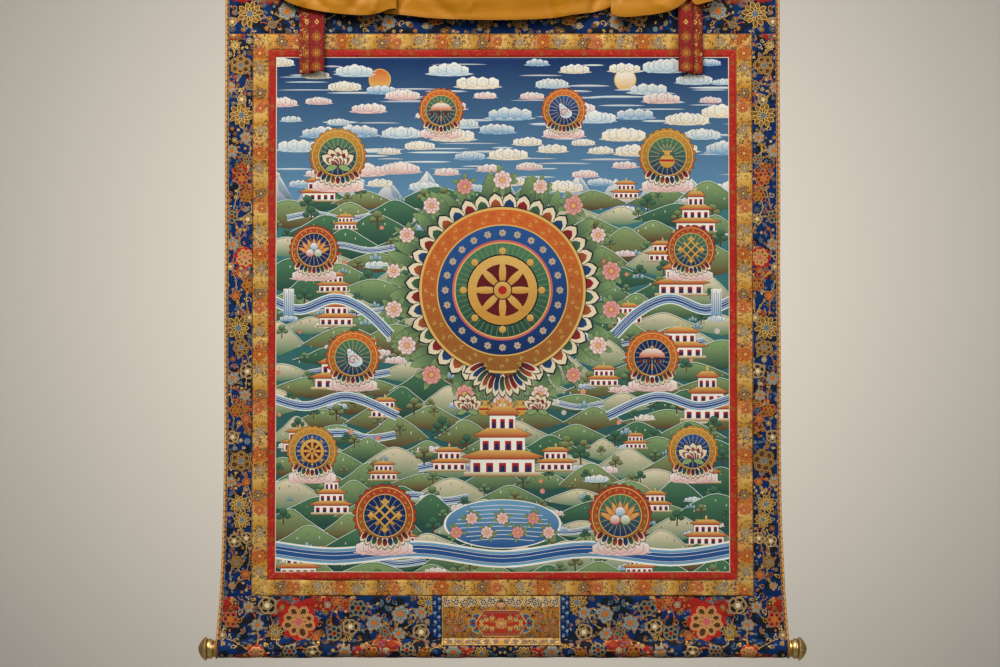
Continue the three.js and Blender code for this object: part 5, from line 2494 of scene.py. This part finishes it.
    def medallion(self, at: Point, size: float, sign: Sign, field: Dye, rim: Dye = Dye.ORANGE) -> None:
        """Lays a round medallion with a sign, on a lotus and a cloud.

        Args:
            at: its middle.
            size: its radius.
            sign: what it shows.
            field: the colour behind the sign.
            rim: the colour of its border.
        """
        self.lay(scallops(at, size * 1.1, 24, 0.08), self.outline_paint)
        self.lay(scallops(at, size * 1.08, 24, 0.08), Paint(rim, Dye.EMBER))
        self.ring_of(at, ((size * 0.97, Paint(Dye.STRAW)), (size * 0.94, Paint(rim, Dye.OCHRE))))
        for k in range(22):
            self.curl(away(at, TAU * k / 22, size * 0.84), size * 0.06, Paint(Dye.STRAW), 0.7, 0.7)
        self.ring_of(at, ((size * 0.74, Paint(Dye.STRAW)), (size * 0.71, Paint(field, Dye.NAVY))))
        for k in range(20):
            angle = TAU * k / 20
            self.line([away(at, angle, size * 0.3), away(at, angle, size * 0.69)], 0.5, Paint(Dye.STRAW))
        foot = (at[0], at[1] - size * 0.86)
        self.cloud((at[0], foot[1] - size * 0.3), size * 0.95, 7, True)
        self.petals((at[0], foot[1] + size * 1.1), size * 1.0, size * 1.42, 9,
                    (Dye.CRIMSON, Dye.BLUE, Dye.GREEN, Dye.ORANGE), (math.pi * 1.27, math.pi * 1.73))
        self.sign(at, size * 0.52, sign)

    def sign(self, at: Point, size: float, sign: Sign) -> None:
        """Lays one of the auspicious signs.

        Args:
            at: its middle.
            size: its radius.
            sign: which one it is.
        """
        gold, dark = Paint(Dye.STRAW, Dye.GOLD), Paint(Dye.WINE)
        x, y = at
        up = math.pi / 2
        if sign is Sign.WHEEL:
            self.ring_of(at, ((size, self.outline_paint), (size * 0.96, gold), (size * 0.72, dark)), 32)
            for k in range(8):
                self.lay(petal(away(at, TAU * k / 8, size * 0.1), TAU * k / 8, size * 0.75, size * 0.2),
                         gold)
                self.disc(away(at, TAU * k / 8, size * 1.08), size * 0.1, gold, 8)
            self.ring_of(at, ((size * 0.27, self.outline_paint), (size * 0.24, gold),
                              (size * 0.12, Paint(Dye.CRIMSON))), 16)
        elif sign is Sign.LOTUS:
            self.petals((x, y - size * 0.7), 0, size * 1.5, 5, (Dye.ROSE, Dye.CRIMSON),
                        (0.35, math.pi - 0.35))
            self.petals((x, y - size * 0.8), 0, size, 4, (Dye.ROSE,), (0.5, math.pi - 0.5))
            self.leaf((x, y - size * 0.7), -0.3, size, size * 0.5, self.outline_paint, Paint(Dye.LEAF))
            self.leaf((x, y - size * 0.7), math.pi + 0.3, size, size * 0.5, self.outline_paint,
                      Paint(Dye.LEAF))
        elif sign is Sign.VASE:
            for k in range(5):
                self.leaf((x, y + size * 0.2), up + (k - 2) * 0.42, size * 0.85, size * 0.3, dark,
                          Paint(Dye.LEAF, Dye.TEAL))
            self.edged(lambda grow: ring((x, y - size * 0.35), size * 0.55 + grow, 20, 0.9), gold)
            self.edged(lambda grow: box_of(x - size * 0.2 - grow, x + size * 0.2 + grow, y,
                                           y + size * 0.35 + grow), gold)
            self.line([(x - size * 0.5, y - size * 0.3), (x + size * 0.5, y - size * 0.3)], size * 0.16,
                      Paint(Dye.CRIMSON))
            self.line([(x - size * 0.36, y + size * 0.36), (x + size * 0.36, y + size * 0.36)], size * 0.12,
                      gold)
        elif sign is Sign.JEWEL:
            for k in range(7):
                angle = up + (k - 3) * 0.36
                self.leaf((x, y - size * 0.5), angle, size * 1.5, size * 0.4, Paint(Dye.CRIMSON),
                          Paint(Dye.STRAW, Dye.ORANGE))
            for dx, dy, dye in ((0, 0.25, Dye.SKY), (-0.34, -0.28, Dye.ROSE), (0.34, -0.28, Dye.LEAF)):
                self.edged(lambda grow: ring((x + dx * size, y + dy * size), size * 0.32 + grow, 14),
                           Paint(Dye.WHITE, dye))
        elif sign is Sign.KNOT:
            for rim, paint in ((0.2, self.outline_paint), (0.13, gold)):
                for k in (-1, 0, 1):
                    for way in (-1, 1):
                        middle = (x + k * size * 0.36, y - way * k * size * 0.36)
                        ends = [away(middle, way * up / 2 + turn, size * 0.85) for turn in (0, math.pi)]
                        self.line(ends, size * rim, paint)
            for k in range(4):
                self.disc(away(at, up * k, size * 0.98), size * 0.14, gold, 8)
        elif sign is Sign.PARASOL:
            self.line([(x, y - size), (x, y + size * 0.5)], size * 0.12, gold)
            for k in range(9):
                hem = (x + (k - 4) * size * 0.22, y - size * 0.05)
                dye = (Dye.CRIMSON, Dye.SKY, Dye.LEAF)[k % 3]
                self.leaf(hem, -up, size * 0.45, size * 0.22, self.outline_paint, Paint(dye, Dye.WINE))
            dome = [(x - size, y), *ring((x, y), size, 16, 0.7)[:9], (x - size, y)]
            self.lay(dome[1:], Paint(Dye.WHITE, Dye.ORANGE))
            self.disc((x, y + size * 0.75), size * 0.14, gold, 8)
        else:
            for k in range(5):
                share = 1 - k * 0.17
                centre = (x + (0.2 - k * 0.12) * size, y + (k * 0.2 - 0.3) * size)
                self.edged(lambda grow: ring(centre, size * 0.55 * share + grow, 18, 0.8),
                           Paint(Dye.WHITE, Dye.PALE))
            self.line(spiral((x, y - size * 0.2), size * 0.4, 1.2), size * 0.1, Paint(Dye.ROSE))


class Emblem(NamedTuple):
    """A medallion's place in the painting: across, height, radius, sign, field and rim."""

    x: float
    v: float
    size: float
    sign: Sign
    field: Dye
    rim: Dye


EMBLEMS = tuple(starmap(Emblem, (
    (-88, 292, 30, Sign.PARASOL, Dye.GREEN, Dye.ORANGE), (88, 292, 30, Sign.CONCH, Dye.BLUE, Dye.ORANGE),
    (-236, 226, 38, Sign.LOTUS, Dye.GREEN, Dye.GOLD), (236, 226, 38, Sign.VASE, Dye.GREEN, Dye.GOLD),
    (-270, 92, 33, Sign.JEWEL, Dye.NAVY, Dye.EMBER), (270, 92, 33, Sign.KNOT, Dye.GREEN, Dye.EMBER),
    (-214, -62, 36, Sign.CONCH, Dye.GREEN, Dye.ORANGE),
    (214, -62, 36, Sign.PARASOL, Dye.NAVY, Dye.ORANGE), (-272, -196, 34, Sign.WHEEL, Dye.BLUE, Dye.GOLD),
    (272, -196, 34, Sign.LOTUS, Dye.BLUE, Dye.GOLD), (-168, -288, 42, Sign.KNOT, Dye.NAVY, Dye.EMBER),
    (168, -288, 42, Sign.JEWEL, Dye.GREEN, Dye.EMBER),
)))


@dataclass
class Canvas:
    """The painted canvas: a generic landscape of clouds, hills and water round a great wheel."""

    middle_z: float = (PAINTING_TOP + PAINTING_BOTTOM) / 2
    half_height: float = (PAINTING_TOP - PAINTING_BOTTOM) / 2 - NEAR
    half: float = PAINTING_HALF - NEAR
    bare: float = 1.2
    land_rows: int = 25
    row_hills: int = 8
    row_things: int = 17
    wheel: Point = (0, 34)
    wheel_size: float = 118

    def place(self, x: np.ndarray, v: np.ndarray, depth: np.ndarray) -> np.ndarray:
        """Places the painting's chart, drawn round its own middle, on the cloth."""
        return on_cloth(x, v + self.middle_z, depth)

    def build(self) -> None:
        """Paints the canvas."""
        half, high = self.half, self.half_height
        chart = Landscape(box_of(-half, half, -high, high), Paint(Dye.CREAM), 70)
        self.sky(chart)
        self.land(chart)
        self.water(chart)
        self.great_wheel(chart)
        for emblem in EMBLEMS:
            chart.medallion((emblem.x, emblem.v), emblem.size, emblem.sign, emblem.field, emblem.rim)
        self.altar(chart)
        for x0, x1, v0, v1 in ((-half, half, high - self.bare, high),
                               (-half, half, -high, self.bare - high),
                               (-half, self.bare - half, -high, high),
                               (half - self.bare, half, -high, high)):
            chart.lay(box_of(x0, x1, v0, v1), Paint(Dye.CREAM))
        made = Cloth("painting_canvas", chart, Layer(0.4, 1.6), PAINTED, self.place, 1.4, 0.3, 10).woven()
        fitted(made, "painted_canvas", "painting")

    def sky(self, chart: Landscape) -> None:
        """Lays the sky, sun, moon, snow peaks and banks of cloud.

        Args:
            chart: the painting's chart.
        """
        half, high = self.half, self.half_height
        chart.lay(box_of(-half, half, 90, high), Paint(Dye.NAVY, Dye.SKY))
        for x, dye in ((-176, Dye.ORANGE), (176, Dye.WHITE)):
            chart.ring_of((x, 336), ((16, Paint(Dye.STRAW)), (14.5, Paint(dye, Dye.STRAW))), 24)
        for k in range(13):
            x = mix(-half, half, k / 12)
            tall = chart.near(46)
            peak = [(x - 32, 150), (x + 32, 150), (x + 9, 150 + tall * 0.8), (x, 150 + tall),
                    (x - 12, 150 + tall * 0.7)]
            chart.lay(peak, Paint(Dye.WHITE, Dye.BLUE))
            shaded = [(x, 150 + tall), (x + 32, 150), (x + 4, 150 + tall * 0.5)]
            chart.lay(shaded, Paint(Dye.PALE, Dye.NAVY))
        for _ in range(70):
            at = (chart.chance.uniform(-half - 20, half), chart.chance.uniform(190, 360))
            tone = Paint(Dye.WHITE, chart.chance.choice((Dye.SKY, Dye.PALE, Dye.BLUE)))
            chart.lay(petal(at, 0, chart.near(62, 0.5), chart.near(2.6, 0.4)), tone)
        for row in range(9):
            v = mix(352, 158, row / 8)
            for k in range(11):
                x = mix(-half, half, (k + 0.5 * (row % 2)) / 10.5)
                if chart.chance.random() < (0.5 if row == 0 else 0.88):
                    at = (x + chart.chance.uniform(-12, 12), v + chart.chance.uniform(-11, 9))
                    chart.cloud(at, chart.near(24, 0.4), chart.chance.choice((4, 5, 7)), row % 4 == 2)

    def land(self, chart: Landscape) -> None:
        """Lays the hills from the far ones to the near ones, with what stands on them.

        Args:
            chart: the painting's chart.
        """
        rows, half = self.land_rows, self.half
        chart.lay(box_of(-half, half, -self.half_height, 150), Paint(Dye.TEAL, Dye.FOREST))
        for row in range(rows):
            base = mix(158, -self.half_height - 10, row / (rows - 1))
            for k in range(self.row_hills):
                x = mix(-half, half, (k + (0.2 if row % 2 else 0.7)) / self.row_hills)
                chart.hill(x + chart.chance.uniform(-14, 14), base, chart.near(52, 0.3),
                           chart.near(25, 0.35))
            if row % 2:
                x = chart.chance.uniform(-250, 250)
                course = [(x - 60, base + 2), (x - 20, base + 8), (x + 22, base), (x + 60, base + 5)]
                chart.river(course, chart.near(8))
            for _ in range(self.row_things):
                at = (chart.chance.uniform(-half, half), base + chart.chance.uniform(-9, 12))
                draw = chart.chance.random()
                if draw < 0.56:
                    chart.tree(at, chart.near(21, 0.35))
                elif draw < 0.72:
                    chart.rock(at, chart.near(10, 0.3))
                elif draw < 0.86:
                    chart.cloud(at, chart.near(15), 4, draw < 0.76)
                else:
                    blush = Paint(chart.chance.choice((Dye.ORANGE, Dye.ROSE, Dye.CRIMSON, Dye.PALE)))
                    chart.bloom(at, chart.near(4), 6, blush, Paint(Dye.PINK), Paint(Dye.STRAW), (1,), 0.6)
            if row % 2 == 0:
                side = 1 if row % 4 else -1
                chart.pavilion((side * chart.near(262, 0.12), base + 6), chart.near(56), 2 + row % 3 // 2)
                chart.pavilion((-side * chart.near(190, 0.3), base + 9), chart.near(36), 2)

    def water(self, chart: Landscape) -> None:
        """Lays the rivers and waterfalls.

        Args:
            chart: the painting's chart.
        """
        for side in (-1, 1):
            chart.river([(side * 330, 20), (side * 290, 6), (side * 240, 22), (side * 196, 4),
                         (side * 160, -30)], 12)
            chart.river([(side * 330, -120), (side * 280, -132), (side * 220, -118), (side * 150, -146)],
                        11)
            chart.waterfall((side * 306, -8), 15, 44)
        chart.river([(-330, -336), (-240, -346), (-120, -336), (0, -350), (120, -336), (240, -348),
                     (330, -336)], 20)

    def great_wheel(self, chart: Landscape) -> None:
        """Lays the great wheel with its rings, in a wreath of peonies.

        Args:
            chart: the painting's chart.
        """
        at, size = self.wheel, self.wheel_size
        for k in range(46):
            angle = TAU * k / 46
            root = away(at, angle, size * 1.05)
            chart.leaf(root, angle + chart.chance.uniform(-0.5, 0.5), chart.near(44), 17,
                       chart.outline_paint, Paint(Dye.LEAF, Dye.FOREST), 0.5)
        for k in range(18):
            chart.peony(away(at, TAU * (k + 0.5) / 18, size * 1.34), chart.near(12.5, 0.15))
        chart.petals(at, size * 0.9, size * 1.2, 40, (Dye.CRIMSON, Dye.BLUE, Dye.ORANGE, Dye.GREEN))
        chart.ring_of(at, ((size * 1.02, chart.outline_paint), (size * 1.01, Paint(Dye.STRAW)),
                           (size * 0.98, Paint(Dye.ORANGE, Dye.OCHRE))), 72)
        for row, reach in ((0, 0.925), (1, 0.855)):
            for k in range(56):
                chart.curl(away(at, TAU * (k + row / 2) / 56, size * reach), 3.3,
                           Paint((Dye.STRAW, Dye.EMBER)[k % 2]), 0.9)
        chart.ring_of(at, ((size * 0.8, Paint(Dye.STRAW)), (size * 0.785, Paint(Dye.BLUE, Dye.NAVY))), 64)
        for k in range(24):
            chart.bloom(away(at, TAU * k / 24, size * 0.695), 5.4, 6, Paint(Dye.STRAW), Paint(Dye.SKY),
                        Paint(Dye.CRIMSON), (1,), 0.7)
        chart.ring_of(at, ((size * 0.61, Paint(Dye.ROSE)), (size * 0.585, Paint(Dye.STRAW)),
                           (size * 0.57, Paint(Dye.GREEN, Dye.FOREST))), 56)
        for k in range(48):
            angle = TAU * k / 48
            chart.line([away(at, angle, size * 0.3), away(at, angle, size * 0.56)], 0.5, Paint(Dye.LEAF))
        chart.sign(at, size * 0.44, Sign.WHEEL)

    def altar(self, chart: Landscape) -> None:
        """Lays the offerings below the wheel and the lotus pond at the painting's foot.

        Args:
            chart: the painting's chart.
        """
        chart.petals((0, -60), 28, 62, 13, (Dye.CRIMSON, Dye.BLUE, Dye.GREEN, Dye.ORANGE),
                     (math.pi * 1.1, math.pi * 1.9))
        for k in (-2, 2, -1, 1, 0):
            at = (k * 25, -136 + abs(k) * 5)
            chart.sign(at, 17, (Sign.JEWEL, Sign.VASE, Sign.LOTUS)[abs(k)])
        chart.pavilion((0, -226), 92, 3)
        for side in (-1, 1):
            chart.pavilion((side * 76, -222), 46, 2)
            chart.tree((side * 112, -216), 30)
        chart.lay(ring((0, -300), 84, 40, 0.42), Paint(Dye.WHITE))
        chart.lay(ring((0, -300), 81, 40, 0.42), Paint(Dye.SKY, Dye.BLUE))
        for k in range(9):
            reach, low = 70 - abs(k - 4) * 6, k * 6
            ripple = flowing([(-reach, -276 - low), (0, -273 - low), (reach, -276 - low)])
            chart.line(ripple, 0.7, Paint(Dye.WHITE))
        for k in range(7):
            chart.peony(((k - 3) * 22, -300 + (8 if k % 2 else -12)), 9)


@dataclass
class Studio:
    """The camera, the pale bowl round the scene and the soft lights."""

    distance: float = 2750
    camera_x: float = -3.6
    camera_z: float = -540
    lens: float = 68.85
    bowl: float = 6.4
    floor_z: float = -3.1
    top_z: float = 5.5

    def build(self) -> None:
        """Sets up the camera, backdrop and lights."""
        scene = bpy.context.scene
        scene.view_settings.view_transform = "Standard"
        camera = bpy.data.cameras.new("camera")
        camera.lens = self.lens
        camera.sensor_width = 36
        camera.clip_end = 100
        view = bpy.data.objects.new("camera", camera)
        view.location = (self.camera_x / METRE, -self.distance / METRE, self.camera_z / METRE)
        view.rotation_euler = (math.pi / 2, 0, 0)
        scene.collection.objects.link(view)
        scene.camera = view
        self.backdrop()
        self.lamp("key", (-1.7, -2.9, 3.0), 2.0, 225)
        self.lamp("fill", (3.0, -3.2, 1.6), 2.6, 75)
        self.lamp("wash", (0, 2.4, 0.4), 3.0, 80, (0, self.bowl, -0.5))
        world = bpy.data.worlds.new("studio")
        world.use_nodes = True
        world.node_tree.nodes["Background"].inputs["Color"].default_value = (1, 0.97, 0.93, 1)
        world.node_tree.nodes["Background"].inputs["Strength"].default_value = 0.31
        scene.world = world

    def backdrop(self) -> None:
        """Makes a wide pale bowl: a floor that curves up into a round wall, open above, with a pool of
        light painted on it.
        """
        sides, bend = 96, 0.7
        rows = [(0.01, self.floor_z), (self.bowl - bend, self.floor_z)]
        for k in range(1, 9):
            angle = math.pi / 2 * k / 8
            rows.append((self.bowl - bend + bend * math.sin(angle),
                         self.floor_z + bend - bend * math.cos(angle)))
        rows.append((self.bowl, self.top_z))
        points = []
        faces = []
        for j, (reach, z) in enumerate(rows):
            for i in range(sides):
                points.append((reach * math.cos(TAU * i / sides), reach * math.sin(TAU * i / sides), z))
                if j + 1 < len(rows):
                    here, beside = j * sides + i, j * sides + (i + 1) % sides
                    faces.append((here, beside, beside + sides, here + sides))
        mesh = bpy.data.meshes.new("bowl")
        mesh.from_pydata(points, [], faces)
        bowl = bpy.data.objects.new("bowl", mesh)
        bpy.context.scene.collection.objects.link(bowl)
        nodes = Nodes("painted_light_plaster")
        # Painted light and shade: the bowl's colour is pale near a point low on the back wall and turns
        # grey further from it, a painted pool of light with painted shade round it
        place = nodes.add("ShaderNodeTexCoord").outputs["Object"]
        far = nodes.add("ShaderNodeVectorMath", place, operation="DISTANCE")
        far.inputs[1].default_value = (0, self.bowl, -0.35)
        share = nodes.math("MULTIPLY_ADD", far.outputs["Value"], 1 / 2.4, -1 / 2.4)
        tone = nodes.add("ShaderNodeMix", data_type="RGBA")
        nodes.link(share, tone.inputs["Factor"])
        # the pale painted light near the point, then the grey painted shade far from it
        tone.inputs[6].default_value = (0.92, 0.84, 0.74, 1)
        tone.inputs[7].default_value = (0.33, 0.32, 0.285, 1)
        nodes.link(tone.outputs[2], nodes.shader.inputs["Base Color"])
        nodes.shader.inputs["Roughness"].default_value = 0.95
        mesh.materials.append(nodes.material)
        smooth_by_angle(bowl, TUBE_ANGLE)

    def lamp(self, name: str, place: tuple[float, float, float], size: float, power: float,
             target: tuple[float, float, float] = (0, 0, -0.54)) -> None:
        """Adds a soft square lamp.

        Args:
            name: its name.
            place: where it stands, in metres.
            size: its side, in metres.
            power: its strength in watts.
            target: what it looks at.
        """
        light = bpy.data.lights.new(name, "AREA")
        light.size = size
        light.energy = power
        lamp = bpy.data.objects.new(name, light)
        lamp.location = place
        lamp.visible_camera = False
        aim = Vector(target) - Vector(place)
        lamp.rotation_euler = aim.to_track_quat("-Z", "Y").to_euler()
        bpy.context.scene.collection.objects.link(lamp)


def main() -> None:
    """Builds the scroll in front of its frame, from the studio to the knobs."""
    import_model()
    Studio().build()
    Canvas().build()
    MitredBorder("red_border", PAINTING_EDGES, RED_EDGES, Layer(0, 2.4), "red_brocade",
                 Paint(Dye.CRIMSON), red_pattern).build()
    MitredBorder("gold_border", RED_EDGES, GOLD_EDGES, Layer(0, 2.2), "gold_brocade",
                 Paint(Dye.GOLD, Dye.STRAW, 0.5), gold_pattern).build()
    BlueSurround().build()
    DoorPatch().build()
    Ribbons().build()
    for side in (-1, 1):
        Binding(side).build()
        Knob(side).build()
    Veil().build()
    log.info("%d faces in all", sum(len(m.polygons) for m in bpy.data.meshes if "chart" in m.uv_layers))


if __name__ == "__main__":
    main()
